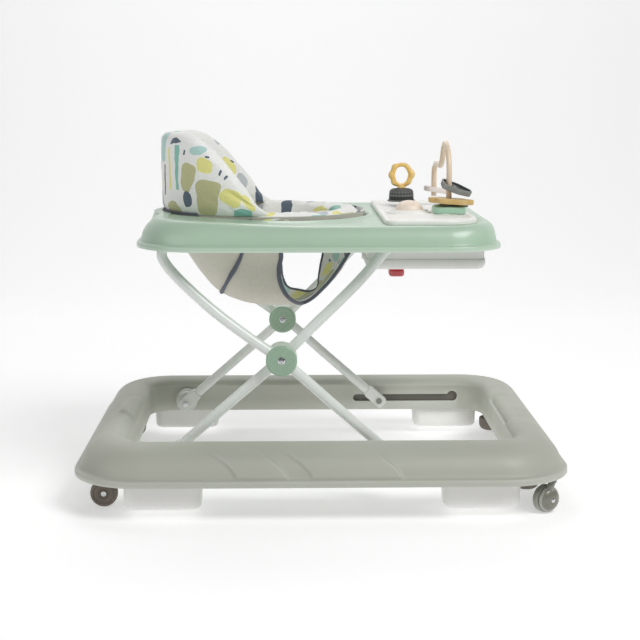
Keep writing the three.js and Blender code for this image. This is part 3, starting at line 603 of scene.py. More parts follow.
BASE_PLASTIC = plastic("base_plastic", srgb(182, 184, 172), 0.48, 1100.0, 0.00006)
BLOCK_PLASTIC = plastic("block_plastic", srgb(244, 243, 240), 0.4)
TUBE_PAINT = painted_tube("tube_paint", srgb(228, 233, 228))
FITTING = plastic("fitting_plastic", srgb(214, 218, 212), 0.38)
HUB_PLASTIC = plastic("hub_plastic", srgb(150, 178, 154), 0.36, coat=0.2)
TRAY_PLASTIC = plastic("tray_plastic", srgb(178, 204, 181), 0.36, 1300.0, coat=0.25)
HOUSING_PLASTIC = plastic("housing_plastic", srgb(232, 231, 228), 0.38)
BRACKET_PLASTIC = plastic("bracket_plastic", srgb(120, 117, 110), 0.5)
WHEEL_PLASTIC = plastic("wheel_plastic", srgb(124, 124, 112), 0.3, coat=0.4)
LATCH_PLASTIC = plastic("latch_plastic", srgb(186, 12, 34), 0.3, coat=0.3)
PANEL_PLASTIC = plastic("panel_plastic", srgb(253, 252, 248), 0.36)
TRACK_PLASTIC = plastic("track_plastic", srgb(233, 211, 184), 0.34, coat=0.3)
CHARCOAL = plastic("charcoal_plastic", srgb(50, 54, 54), 0.6)
YELLOW_PLASTIC = plastic("yellow_plastic", srgb(246, 203, 104), 0.33, coat=0.3)
PEACH_PLASTIC = plastic("peach_plastic", srgb(250, 234, 218), 0.42)
MUSTARD_PLASTIC = plastic("mustard_plastic", srgb(214, 172, 78), 0.4)
MINT_PLASTIC = plastic("mint_toy_plastic", srgb(158, 208, 178), 0.38)
BLUSH_PLASTIC = plastic("blush_plastic", srgb(238, 228, 223), 0.4)
STEEL = metal("pin_steel", srgb(215, 216, 218), 0.2)
FOOT_RUBBER = rubber("foot_rubber", srgb(122, 114, 104))
PRINT_CLOTH = printed_cloth("seat_print", srgb(252, 252, 249))
SLING_PRINT = printed_cloth("sling_lining", srgb(240, 241, 238), (60, 30))
SLING_CLOTH = plain_cloth("sling_cloth", srgb(214, 210, 198))
SLATE_PIPING = binding("slate_piping", srgb(98, 102, 116))
PALE_PIPING = binding("pale_piping", srgb(222, 225, 230))


# ---------------------------------------------------------------- base ring
def base_ring():
    """The ring of the base, a hollow moulding open underneath."""
    low, high = box_of("base_shell")
    counts = (20, 230, 70)
    outer, _ = rounded_outline(high[0], high[1], 100, counts=counts)
    opening = (high[0] - 74, high[1] - 87)
    inner, _ = rounded_outline(*opening, 42, counts=counts)
    width = 87
    crown = high[2]
    top = smooth_path(
        [
            (0, 57.6), (1.2, 59.2), (4, 60), (6.6, 60.8), (8.8, 63.4), (11, 68.5), (14.5, 76),
            (21, 84.6), (31, 92.4), (44, 98.2), (56, crown - 0.5), (64, crown), (70, crown - 0.9),
            (75, crown - 2.4), (81, crown - 5.6), (84.8, 91.6), (86.7, 87.6), (86.2, 85.8), (85.4, 84.6),
        ],
        54,
    )
    under = [
        (85.4, 66), (85.4, 46), (84.4, low[2]), (82.6, low[2]), (82.4, 84), (79, 91.5), (67, 97.4),
        (45, 95.2), (31, 89.2), (20, 80.5), (12.5, 68), (6.5, 58), (3, 56), (3, 50.6),
        (2.2, 50), (0.8, 50), (0, 51), (0, 55),
    ]
    profile = np.concatenate([top, under])
    share = profile[:, 0] / width
    plan = outer[:, None] + (inner - outer)[:, None] * share[None, :, None]
    heights = np.broadcast_to(profile[:, 1], plan.shape[:2])
    points = np.concatenate([plan, heights[:, :, None]], axis=2)
    shape = points[:, : len(top)]
    shape += raised_bands(shape, high)
    shape[:, :, 2] += rail_mouldings(shape, opening)
    ring = mesh_piece("base_ring", skin(points, ring=True), BASE_PLASTIC, "base",
                      ["base_shell"], angle=50)
    for _, side in SIDES:
        for cutter in slot_cutters(side, opening[1]):
            cut_out(ring, cutter)
    ring.data.shade_smooth()
    ring.data.set_sharp_from_angle(angle=math.radians(50))


RIB_EDGES = ((-119.0, -48.0), (-14.0, 112.0))  # at the lip, from the rear to the front of a band
RIB_LEAN = 42.0  # how far an edge curves rearwards by the time it is 40 above the lip


def raised_bands(shape, high):
    """Two raised bands on each long rail, with curved ends that lean rearwards."""
    x, y, z = shape[..., 0], shape[..., 1], shape[..., 2]
    rise = (z - 54) / 40
    along = x + RIB_LEAN * rise**2
    band = np.zeros_like(x)
    for rear, front in RIB_EDGES:
        behind = smoothstep(rear - 1.5, rear + 2, along)
        band += behind * (1 - smoothstep(front - 2, front + 1.5, along))
    fade = smoothstep(60.5, 62, z) * (1 - smoothstep(84, 99, z))
    on_rail = smoothstep(high[1] - 60, high[1] - 50, abs(y))
    amount = 3.4 * band * fade * on_rail
    return np.stack([np.zeros_like(x), np.sign(y) * amount * 0.75, amount * 0.66], axis=-1)


def rail_mouldings(shape, opening):
    """How far the crown rises in the hump behind the child and dips in the front scoop."""
    x, y, z = shape[..., 0], shape[..., 1], shape[..., 2]
    on_crown = smoothstep(85, 98, z)
    behind = -opening[0] - x
    hump_edge = np.minimum(78 - 1.15 * behind - abs(y), 34 - behind)
    hump = 5.5 * smoothstep(0, 14, hump_edge) * (behind > -2)
    ahead = x - opening[0]
    scoop = smoothstep(0, 22, 98 - abs(y)) * (1 - smoothstep(4, 44, ahead)) * (ahead > -2)
    return (hump - 9 * scoop) * on_crown


SLOT_END = 244.0


def slot_shade_liners():
    """The channels behind the slots, which the sliding leg ends run in; their dark colour is painted
    shade for the shadow inside the hollow rail.
    """
    pin = JOINT_AT["fold"]
    back = box_of("stop_block_front_left")[0][1] - 0.2
    mouth = back - 4.4
    section = [(mouth, -13), (back, -13), (back, 14), (mouth, 14), (mouth, 13), (back - 1, 13),
               (back - 1, -12), (mouth, -12)]
    for side, sign in SIDES:
        rows = [[(x, sign * y, pin[2] + z) for y, z in section] for x in (55, SLOT_END + 8)]
        # the dark bracket plastic here is painted shade, standing for the shadow in the rail behind the
        # slot
        mesh_piece(f"slot_shade_liner_{side}", skin(rows), BRACKET_PLASTIC, "base",
                   angle=30)


def slot_cutters(side, wall_y):
    """The slot that a leg end slides in, the larger hole at its front end, and the pin's hole."""
    pin_z = JOINT_AT["fold"][2]
    low_y, high_y = sorted((side * (wall_y - 3), side * (wall_y + 7)))
    start, end, half = 64, SLOT_END, 6.0
    outline = [(end - half, -1), (start + half, 1)]
    points = []
    for x, way in outline:
        for a in np.linspace(-90, 90, 15):
            turn = math.radians(a)
            points.append((x - way * half * math.cos(turn), pin_z - way * half * math.sin(turn)))
    sections = [[(x, y, z) for x, z in points] for y in (low_y, high_y)]
    hole_at = np.array([end - 8, low_y, pin_z + 2.5])
    hole = revolve([(0, 0), (9, 0), (9, high_y - low_y), (0, high_y - low_y)], hole_at, "y", 40)
    pin = JOINT_AT["fold"]
    rear_hole = revolve([(0, 0), (3.6, 0), (3.6, high_y - low_y), (0, high_y - low_y)],
                        (pin[0], low_y, pin[2]), "y", 24)
    return [skin(sections), hole, rear_hole]


def stop_blocks():
    """The white blocks under the corners, with a soft lower edge."""
    for end in ("front", "rear"):
        for side, _ in SIDES:
            node = f"stop_block_{end}_{side}"
            low, high = box_of(node)
            centre, half = (low + high) / 2, (high - low) / 2
            sections = []
            levels = [(0, 9), (0.6, 6.2), (2, 3.6), (4.6, 1.6), (8, 0.9), (20, 0.5), (42, 0)]
            rows = [(low[2] + rise, inset) for rise, inset in levels] + [(high[2], 0)]
            for z, inset in rows:
                outline, _ = rounded_outline(half[0] - inset, half[1] - inset,
                                             max(15 - inset * 0.6, 4), counts=(10, 6, 4))
                sections.append([(centre[0] + x, centre[1] + y, z) for x, y in outline])
            mesh_piece(f"block_{end}_{side}", skin(sections), BLOCK_PLASTIC, "base", [node],
                       angle=40)


def front_pads():
    """Round rubber pads on posts under the front corners."""
    for side, _ in SIDES:
        node = f"front_stop_pad_{side}"
        low, high = box_of(node)
        radius, x, y = (high[0] - low[0]) / 2, *middle_of(node)[:2]
        profile = smooth_path(
            [(0.5, 0), (9, 0.4), (15, 2.2), (18.6, 6), (radius, 12), (radius, 20.5)], 22
        ).tolist()
        profile += [(18.8, 22), (9, 22.4), (8, 24), (8, high[2] - low[2])]
        shape = revolve([(0, 0), *profile, (0, high[2] - low[2])], (x, y, low[2]), "z", 48)
        mesh_piece(f"pad_{side}", shape, FOOT_RUBBER, "base", [node])


# ---------------------------------------------------------------- wheels
def tyre_profile(radius, half):
    """Half a wheel's section from its hub out, and back on the other side."""
    edge = [(radius - 4.2, half), (radius - 1.6, half - 0.7), (radius - 0.3, half - 2.4)]
    face = [(3.4, half - 1.2), (7.5, half - 1.2), (8.6, half - 0.1), (radius - 6.6, half - 0.1),
            (radius - 5.8, half - 0.9), (radius - 4.8, half - 0.7)]
    one = face + edge
    return [(r, -h) for r, h in one] + [(radius, 0)] + [(r, h) for r, h in reversed(one)]


def wheel_piece(name, node, body, material, axis):
    low, high = box_of(node)
    centre = (low + high) / 2
    half = 6.0
    profile = tyre_profile((high[2] - low[2]) / 2, half)
    ring = revolve([*profile, profile[0]], centre, axis, 56)
    mesh_piece(name, ring, material, body, [node])


def rear_wheels():
    for side, _ in SIDES:
        wheel_piece(f"rear_tyre_{side}", f"rear_wheel_{side}", f"rear_wheel_{side[0]}",
                    FOOT_RUBBER, "y")
        dress(f"rear_wheel_bracket_{side}", BRACKET_PLASTIC, 1.0)
        dress(f"rear_wheel_axle_{side}", STEEL, 0.3)


def caster_axes(side):
    """The caster wheel's axle direction, outwards, and a pair square to it."""
    joint = next(j for j in frame["joints"] if j["name"] == f"caster_wheel_{side[0]}_spin")
    axle = np.array(joint["axis"], float)
    sign = 1 if side == "left" else -1
    if axle[1] * sign < 0:
        axle = -axle
    trail = np.cross(axle, (0, 0, 1))
    return trail, np.array((0, 0, 1.0)), axle


def casters():
    """A wheel on each front corner under a domed cover, on a swivel stem."""
    for side, _ in SIDES:
        trail, up, axle = caster_axes(side)
        body = f"caster_{side[0]}"
        wheel_piece(f"caster_tyre_{side}", f"caster_wheel_{side}", f"caster_wheel_{side[0]}",
                    WHEEL_PLASTIC, (trail, up, axle))
        centre = middle_of(f"caster_wheel_{side}")
        cover_profile = [(0, 7.2), (17.2, 7.2), (18.2, 7.7), (18.5, 8.6), (18.2, 9.4), (17.2, 9.7),
                         (16.9, 10.2)]
        dome = smooth_path([(16.9, 10.2), (15.6, 12.9), (12.4, 15.6), (8, 17.3), (3, 18), (0.4, 18)],
                           18).tolist()
        cover = revolve([*cover_profile, *dome, (0, 18)], centre, (trail, up, axle), 56)
        swivel = JOINT_AT[f"caster_{side[0]}_swivel"]
        stem_at = np.array((swivel[0], swivel[1], 0))
        top = box_of(f"caster_fork_{side}")[1][2]
        stem = revolve([(0, 41), (6.2, 41), (7.1, 41.8), (7.1, 46), (6.4, 47), (4, 47.2),
                        (4, top - 0.6), (3.4, top), (0, top)], stem_at, "z", 32)
        middle = (stem_at + centre) / 2
        arm_path = smooth_path([
            stem_at + up * 45.5,
            middle + up * (45 - middle[2]) + axle * 8,
            centre + up * 17 + axle * 10.4,
            centre + up * 6 + axle * 11.5,
        ], 14)
        arm = sweep(arm_path, np.linspace(5.6, 4.6, 14), 16, flat=0.8)
        mesh_piece(f"caster_cover_{side}", joined(cover, stem, arm), WHEEL_PLASTIC, body,
                   [f"caster_fork_{side}"])
        cap_at = centre + axle * 17.7
        cap = relief_disc(3.2, cap_at, (trail, up, axle), lambda x, y: 0.9 - (x * x + y * y) * 0.06,
                          rings=6, sides=28, depth=1.0)
        mesh_piece(f"caster_pin_{side}", cap, STEEL, body, [f"caster_axle_{side}"])


# ---------------------------------------------------------------- scissor legs
def cross_screw(x, y):
    """Height of a domed screw head with a cross cut in it."""
    r = math.hypot(x, y)
    cut = min(abs(x), abs(y)) < 0.75 and max(abs(x), abs(y)) < 3.3
    return 2.0 - 0.045 * r * r - (1.5 if cut else 0.0)


LEG_CURVE = {
    "inner": ((48, 48), (82, 81), (116, 116), (136, 139), (148, 153)),
    "outer": ((50, 35.5), (94.5, 70), (133, 104), (153, 124), (165, 139), (170, 150), (168, 160)),
}


def leg_line(kind, y_at):
    """The middle line of one leg, from its foot up to its top end."""
    lower = JOINT_AT["fold"] if kind == "inner" else mirrored_foot()
    cross = JOINT_AT["cross"]
    way = 1 if kind == "inner" else -1
    down = (lower - cross) / np.linalg.norm(lower - cross)
    reach = np.linalg.norm(lower - cross) - 20
    line = [cross + down * reach, cross + down * reach * 0.5, cross]
    line += [cross + np.array((way * dx, 0, dz)) for dx, dz in LEG_CURVE[kind]]
    return [np.array((p[0], y_at(p[2] - cross[2]), p[2])) for p in line]


def mirrored_foot():
    """Where an outer leg's slider is: as far in front of the crossing as the rear pin is behind."""
    pin, cross = JOINT_AT["fold"], JOINT_AT["cross"]
    return np.array((2 * cross[0] - pin[0], 0, pin[2]))


def inner_leg():
    """Both inner legs and the crossbar under the tray are one bent tube."""
    y = middle_of("inner_leg_foot_left")[1]
    crossbar = JOINT_AT["shoe_turn"]
    leg = leg_line("inner", lambda rise: y)
    leg += [crossbar + (0, y - 7, -3), crossbar + (0, y - 24, 0), crossbar + (0, y * 0.5, 0)]
    other = [p * (1, -1, 1) for p in reversed(leg)]
    path = smooth_path([*leg, crossbar, *other], 170)
    mesh_piece("inner_tube", sweep(path, 7.5, 28), TUBE_PAINT, "inner_legs",
               ["inner_leg_tube"])


def outer_legs():
    """Each outer leg closes in towards its hinge on the tray."""
    for side, sign in SIDES:
        low_y = abs(middle_of(f"outer_leg_foot_{side}")[1])
        hinge = JOINT_AT["tray_tilt"]
        rise_to_hinge = hinge[2] - JOINT_AT["cross"][2]

        def y_at(rise, sign=sign, low_y=low_y):
            return sign * (low_y - 11 * smoothstep(60, rise_to_hinge - 12, rise))

        line = leg_line("outer", y_at)
        line += [np.array((hinge[0], line[-1][1], hinge[2] + up)) for up in (0, 9)]
        mesh_piece(f"outer_tube_{side}", sweep(smooth_path(line, 80), 7.5, 28), TUBE_PAINT,
                   "outer_legs", [f"outer_leg_tube_{side}"])


def leg_feet():
    """A squared plastic shoe with cut corners on each lower end, and a ringed rivet."""
    pin, cross = JOINT_AT["fold"], JOINT_AT["cross"]
    for kind, body in (("inner", "inner_legs"), ("outer", "outer_legs")):
        at = pin if kind == "inner" else mirrored_foot()
        along = (cross - at) / np.linalg.norm(cross - at)
        across = np.cross((0, 1, 0), along)
        for side, sign in SIDES:
            y = middle_of(f"{kind}_leg_foot_{side}")[1]
            centre = np.array((at[0], y, at[2]))
            half, cut, bend = 9.6, 3.2, 1.3
            plan = [(-11, -half + cut), (-11 + cut, -half), (22, -half), (27, -7.9), (27, 7.9),
                    (22, half), (-11 + cut, half), (-11, half - cut)]
            sections = []
            for depth, inset in ((-8.5, bend), (-8.5 + bend, 0), (8.5 - bend, 0), (8.5, bend)):
                row = []
                for a, c in plan:
                    a2 = a * (1 - inset / 22)
                    c2 = c * (1 - inset / half)
                    row.append(centre + along * a2 + across * c2 + np.array((0, depth, 0)))
                sections.append(row)
            mesh_piece(f"{kind}_shoe_{side}", skin(sections), FITTING, body,
                       [f"{kind}_leg_foot_{side}"], angle=20)
            inward = np.array((0, -sign, 0.0))
            ring = revolve([(2.4, 0), (4.6, 0), (4.9, 0.5), (4.5, 1.1), (3.2, 1.2), (2.6, 0.6),
                            (2.4, 0)], centre + inward * 8.4, (along, across, inward), 32)
            pin_head = relief_disc(2.3, centre + inward * 8.5, (along, across, inward),
                                   lambda x, y: 0.8 - 0.1 * (x * x + y * y), 5, 24, 2.0)
            mesh_piece(f"{kind}_rivet_{side}", joined(ring, pin_head), STEEL, body)


def hubs():
    """The mint discs that clamp the legs where they cross, and their screws."""
    cross = JOINT_AT["cross"]
    for side, sign in SIDES:
        for kind, body, face_sign in (("outer", "outer_legs", sign), ("inner", "inner_legs", -sign)):
            node = f"pivot_hub_{kind}_{side}"
            low, high = box_of(node)
            radius = (high[0] - low[0]) / 2
            out = np.array((0, face_sign, 0.0))
            face_y, back_y = (high[1], low[1]) if face_sign > 0 else (low[1], high[1])
            centre = np.array((cross[0], face_y, cross[2])) - out * 1.2
            across = np.array((1.0, 0, 0))

            def height(x, y):
                r = math.hypot(x, y)
                edge = 1 - smoothstep(radius - 3, radius, r)
                ribs = smoothstep(-0.2, 0.5, math.cos((x * 0.62 - y * 0.78) * 1.15))
                on_face = smoothstep(8.2, 8.9, r) * (1 - smoothstep(radius - 4.6, radius - 3.8, r))
                well = 0.9 * (1 - smoothstep(6.6, 7.2, r))
                return 1.2 * edge - 0.55 * ribs * on_face - well

            axes = (across, np.array((0, 0, 1.0)), out)
            disc = relief_disc(radius, centre, axes, height, 44, 120, abs(face_y - back_y) - 1.2)
            mesh_piece(f"hub_{kind}_{side}", disc, HUB_PLASTIC, body, [node], 30)
            screw = relief_disc(5.4, centre, axes, cross_screw, 22, 72, 1.5)
            replaced = [f"pivot_screw_{side}"] if kind == "inner" else []
            mesh_piece(f"screw_{kind}_{side}", screw, STEEL, body, replaced, 30)


def rear_bosses():
    """The fixed bosses on the base that the inner legs turn on."""
    pin = JOINT_AT["fold"]
    for side, sign in SIDES:
        low, high = box_of(f"rear_pivot_boss_{side}")
        radius = (high[2] - low[2]) / 2
        outward = np.array((0, sign, 0.0))
        face = np.array((pin[0], min(abs(low[1]), abs(high[1])) * sign, pin[2]))
        depth = abs(high[1] - low[1]) + 1.8
        profile = [(0, 0), (radius - 2.4, 0), (radius - 0.7, 0.6), (radius, 2.2), (radius, 12),
                   (radius + 1.4, 13), (radius + 1.4, depth), (0, depth)]
        mesh_piece(f"rear_boss_{side}", revolve(profile, face, ((1, 0, 0), (0, 0, 1), outward), 56),
                   FITTING, "base", [f"rear_pivot_boss_{side}"])
        dress(f"rear_pivot_pin_{side}", STEEL, 0.3)
        dress(f"slot_slider_{side}", BRACKET_PLASTIC, 0.4)


# ---------------------------------------------------------------- tray
# Heights over the rear half of the rim and over the front half, which is flat for the toys.
RIM_OUT = (  # distance in from the outline, height behind, in front, and at the very nose
    (0, 370, 370, 370), (0, 373, 373, 373), (0, 375.6, 375.6, 375.6), (0.9, 377, 377, 377),
    (2.2, 377.6, 377.6, 377.6), (3.8, 377.9, 377.9, 377.9), (5.1, 378.3, 378.3, 378.3),
    (5.8, 379.4, 379.4, 379.6), (6.6, 382.4, 382.4, 383.2), (8.2, 388.4, 388.4, 391),
    (10, 392.8, 392.6, 397.4), (12.4, 397.2, 396.6, 402.4), (16, 402, 400.6, 405.6),
    (20, 405.9, 403.1, 407.2), (24, 408.9, 404.7, 407.6), (27.5, 410.8, 405.2, 407),
    (31, 411.8, 404.8, 405.4), (34, 412.1, 404, 404), (40, 412.2, 403.5, 403.5),
    (46, 412, 403.5, 403.5),
)
RIM_IN = (  # distance out from the seat opening
    (20, 410.6, 403.5), (14, 410.9, 403.6), (11, 411, 404.9), (7.5, 410.7, 406.4),
    (4, 409.8, 406), (1.6, 408, 404.6), (0.3, 406, 402.4), (0, 404, 400.5), (0, 396.5, 396.5),
)
RIM_UNDER = (  # under the hem, the deck and the rim, back to the lip
    ("in", 3, 396.5, 396.5), ("in", 3.2, 403.5, 399.6), ("in", 7, 407.4, 400.5),
    ("in", 14, 407.9, 400.5), ("mid", 0.3, 408, 400.5), ("mid", 0.7, 408.6, 400.5),
    ("out", 46, 409, 400.5), ("out", 34, 408.4, 400.5), ("out", 25, 405, 400.5),
    ("out", 14.5, 396.6, 396.2), ("out", 11.2, 390.4, 390.4), ("out", 9.6, 382, 382),
    ("out", 7.6, 376.4, 376.4), ("out", 3.4, 374.4, 374.4), ("out", 2.8, 370, 370),
)
BRIDGE_STEPS = 7


def tray_shell():
    """The oval tray: a flared rim with a rolled lip, and a hem round the seat opening."""
    low, high = box_of("tray_shell")
    centre_x, half_x, half_y = (low[0] + high[0]) / 2, (high[0] - low[0]) / 2, high[1]
    seat_low, seat_high = box_of("seat_bucket")
    opening_x = (seat_low[0] + seat_high[0]) / 2
    opening = (seat_high[0] - opening_x + 2.5, seat_high[1] + 2.5)
    counts = (40, 34, 34)
    outer, out_n = rounded_outline(half_x, half_y, 80, 105, centre_x, counts)
    inner, in_n = rounded_outline(*opening, 146, 146, opening_x, counts)
    room = np.linalg.norm(outer - inner, axis=1)
    squeeze = np.minimum(1, (room - 14) / 58)[:, None]

    def place(kind, distance):
        if kind == "out":
            inward = min(distance, 10) + max(distance - 10, 0) * squeeze
            return outer - out_n * inward
        if kind == "in":
            return inner + in_n * distance * np.where(distance < 4, np.sqrt(squeeze), squeeze)
        near, far = place("in", 14 if distance else 20), place("out", 46)
        return near + (far - near) * distance

    def loop(kind, distance, behind, before, at_nose=None):
        plan = place(kind, distance)
        front = smoothstep(-205, -15, plan[:, 0])
        nose = smoothstep(185, 245, plan[:, 0]) * ((at_nose or before) - before)
        return np.column_stack([plan, behind + (before - behind) * front + nose])

    loops = [loop("out", *row) for row in RIM_OUT]
    hem = [loop("in", *row) for row in RIM_IN]
    for i in range(1, BRIDGE_STEPS):
        share = i / BRIDGE_STEPS
        loops.append(loops[len(RIM_OUT) - 1] * (1 - share) + hem[0] * share)
    loops += hem + [loop(*row) for row in RIM_UNDER]
    shape = np.transpose(np.array(loops), (1, 0, 2))
    mesh_piece("tray_rim", skin(shape, ring=True), TRAY_PLASTIC, "tray", ["tray_shell"],
               angle=60)


def tray_fittings():
    for side, _ in SIDES:
        dress(f"tray_hinge_bracket_{side}", TRAY_PLASTIC, 1.5)
        dress(f"tray_hinge_pin_{side}", STEEL, 0.4)
    dress("crossbar_shoe", WHEEL_PLASTIC, 0.8)
    dress("notch_rack", WHEEL_PLASTIC, 0.4)


def tub_row(box, z, inset, corner=16):
    (x0, x1), half_y = box
    outline, _ = rounded_outline((x1 - x0) / 2 - inset, half_y - inset, max(corner - inset, 3),
                                 centre_x=(x0 + x1) / 2, counts=(10, 8, 12))
    return np.column_stack([outline, np.full(len(outline), z)])


def height_housing():
    """The white tub under the deck, with a step round it, and the tongue that holds it."""
    low, high = box_of("height_housing")
    top, front = 366.0, high[0] - 10.5
    box = ((low[0], front), high[1])
    outside = [(low[2], 9), (low[2] + 0.5, 6.4), (low[2] + 1.8, 3.9), (low[2] + 3.9, 1.8),
               (low[2] + 6.6, 0.5), (low[2] + 9.4, 0), (350.2, 0), (351.2, 0.4), (351.8, 1.7),
               (364.4, 1.7), (365.6, 1.2), (top, 0.6)]
    inside = [(top, 2.8), (354, 4.2), (low[2] + 8, 4.2), (low[2] + 4, 6.2), (low[2] + 2.6, 9)]
    rows = [tub_row(box, z, inset) for z, inset in outside + inside]
    tub = mesh_piece("housing_tub", skin(rows), HOUSING_PLASTIC, "tray", ["height_housing"],
                     angle=40)
    seat_low, seat_high = box_of("seat_bucket")
    seat_x = (seat_low[0] + seat_high[0]) / 2
    radius = seat_high[0] - seat_x + 3
    round_seat = revolve([(0, 0), (radius, 0), (radius, 60), (0, 60)],
                         (seat_x, 0, low[2] - 20), "z", 160)
    cut_out(tub, round_seat)
    latch_low, latch_high = box_of("release_latch")
    slot_box = ((latch_low[0] - 5, latch_high[0] - 3), 7.2)
    cut_out(tub, skin([tub_row(slot_box, z, 0, 3) for z in (low[2] - 5, low[2] + 9)]))
    tub.data.shade_smooth()
    tub.data.set_sharp_from_angle(angle=math.radians(40))
    plates = []
    for x0, x1, z0, z1 in ((front - 3, high[0], 363, 366), (high[0] - 4, high[0], 363, 383)):
        plates.append(skin([tub_row(((x0, x1), 80), z, inset, 1.4)
                            for z, inset in ((z0, 0.8), (z0 + 0.8, 0), (z1 - 0.8, 0), (z1, 0.8))]))
    arc = np.radians(np.linspace(-21, 21, 40))
    sections = []
    for a in arc:
        way = np.array((math.cos(a), math.sin(a)))
        centre = np.array((seat_x, 0))
        ring = [(radius + 0.2, low[2] + 4), (radius + 2.8, low[2] + 4), (radius + 2.8, high[2]),
                (radius + 0.2, high[2])]
        sections.append([(*(centre + way * r), z) for r, z in ring])
    mesh_piece("housing_tongue", joined(*plates, skin(sections)), HOUSING_PLASTIC, "tray")


def release_latch():
    """The red catch under the tub: a grip with finger grooves on a flanged neck."""
    low, high = box_of("release_latch")
    box = ((low[0], high[0]), high[1])
    rows = [(0, 4.4), (0.4, 2.6), (1.5, 1.1), (3.4, 0.25), (5.6, 0)]
    for groove in (10, 15, 20):
        rows += [(groove - 1.4, 0), (groove - 0.7, 0.8), (groove + 0.7, 0.8), (groove + 1.4, 0)]
    rows += [(27.6, 0), (28.6, 0.5), (29.1, 1.4)]
    grip = skin([tub_row(box, low[2] + rise, inset, 5) for rise, inset in rows])
    middle = (low[0] + high[0]) / 2
    neck = skin([tub_row(((middle - 6.5, middle + 6.5), half), low[2] + rise, 0, 2)
                 for rise, half in ((29, 5), (34.2, 5), (34.3, 11), (37.1, 11), (37.5, 10.4))])
    mesh_piece("latch_grip", joined(grip, neck), LATCH_PLASTIC, "latch", ["release_latch"])


# ---------------------------------------------------------------- toys
def panel_row(z, inset):
    """The panel's outline at a height, a distance in from its edge."""
    low, high = box_of("toy_panel")
    half_x = (high[0] - low[0]) / 2
    outline, _ = rounded_outline(half_x - inset, high[1] - inset, max(50 - inset, 6),
                                 max(15 - inset, 4), (low[0] + high[0]) / 2, (16, 12, 20))
    return np.column_stack([outline, np.full(len(outline), z)])


def inset_outline(outline, distance):
    tangent = np.roll(outline, -1, 0) - np.roll(outline, 1, 0)
    tangent /= np.linalg.norm(tangent, axis=1)[:, None]
    inward = np.column_stack([-tangent[:, 1], tangent[:, 0]])
    return outline + inward * distance


def toy_panel():
    """The white panel of toys, with a rolled edge, a moulded step and seats for the toys."""
    low, _ = box_of("toy_panel")
    base = 411.0
    rows = [(low[2], 1), (low[2] + 0.4, 0.2), (low[2] + 1, 0), (low[2] + 4.2, 0),
            (low[2] + 5.8, 0.6), (low[2] + 6.9, 1.8), (base, 3.6), (base + 0.2, 6),
            (base - 0.2, 9), (base - 1, 10.4), (base - 1.2, 12), (base - 1.2, 20),
            (base - 0.8, 21.4), (base, 22.6), (base, 26)]
    board = skin([panel_row(z, inset) for z, inset in rows])
    knob = middle_of("twist_knob")
    knob_seat = revolve([(0, 409), (26, 409), (25.6, 411.6), (24.6, 413.2), (24, 414), (23.8, 416),
                         (23.2, 417), (22, 417.3), (0, 417.3)], (knob[0], knob[1], 0), "z", 72)
    foot = middle_of("bead_blush")
    far_foot = revolve([(0, 409), (15.6, 409), (15, 411.6), (13.8, 413), (13.4, 417), (12.2, 421),
                        (9.6, 424.4), (6.6, 426.4), (4.6, 427), (4.4, 426), (0, 426)],
                       (foot[0] + 0.5, foot[1], 0), "z", 56)
    panel = mesh_piece("panel_board", joined(board, knob_seat, far_foot), PANEL_PLASTIC, "tray",
                       ["toy_panel"], angle=45)
    dome = middle_of("dome_button")
    well = [(0, 0), (22.2, 0), (22.2, 8), (0, 8)]
    cut_out(panel, revolve(well, (dome[0], dome[1], base - 3), "z", 72))
    panel.data.shade_smooth()
    panel.data.set_sharp_from_angle(angle=math.radians(45))
    dish = revolve([(22.4, 409), (34.4, 409), (34.8, 411.2), (33.8, 412.6), (32, 413), (30.6, 412.4),
                    (29.8, 412.2), (29, 412.8), (28, 414.6), (26.4, 415.6), (24.2, 415.4),
                    (22.8, 414.4), (22.3, 412.6), (22.4, 409)], (dome[0], dome[1], 0), "z", 96)
    mesh_piece("dial_ring", dish, PANEL_PLASTIC, "tray")
    near = JOINT_AT["mint_bead_turn"]
    near_foot = revolve([(0, 409.4), (17, 409.4), (16.8, 410.8), (15.6, 411.8), (13, 412.2),
                         (8, 412.6), (6.6, 413.2), (5.8, 414), (4.3, 414.2), (0, 414.2)],
                        (near[0] - 5, near[1], 0), "z", 56)
    mesh_piece("arch_foot", near_foot, PEACH_PLASTIC, "tray")


def bead_track():
    """The wooden-coloured arch that the beads are threaded on."""
    low, high = box_of("bead_track")
    near, far = JOINT_AT["mint_bead_turn"], middle_of("bead_blush")
    x, y, top = near[0], near[1], high[2] - 4.2
    far_x, far_y = far[0] + 0.5, far[1]
    line = [
        (x, y, low[2] + 0.3), (x, y, 430), (x, y, 455), (x, y + 0.6, 482),
        (x - 0.8, y + 14, 504.5), (x - 2, y + 37, top), (x - 2.4, y + 56, 507.5),
        (x - 3, y + 71, 488), (x - 3.5, y + 84, 479.6), (x - 4, y + 102, 477.7),
        (x - 4.5, y + 120, 479), (x - 6, y + 139, 477), (far_x, far_y - 3.5, 468),
        (far_x, far_y, 455), (far_x, far_y, 440), (far_x, far_y, 426.4),
    ]
    mesh_piece("bead_arch", sweep(smooth_path(line, 150), 4.2, 24), TRACK_PLASTIC, "tray",
               ["bead_track"])


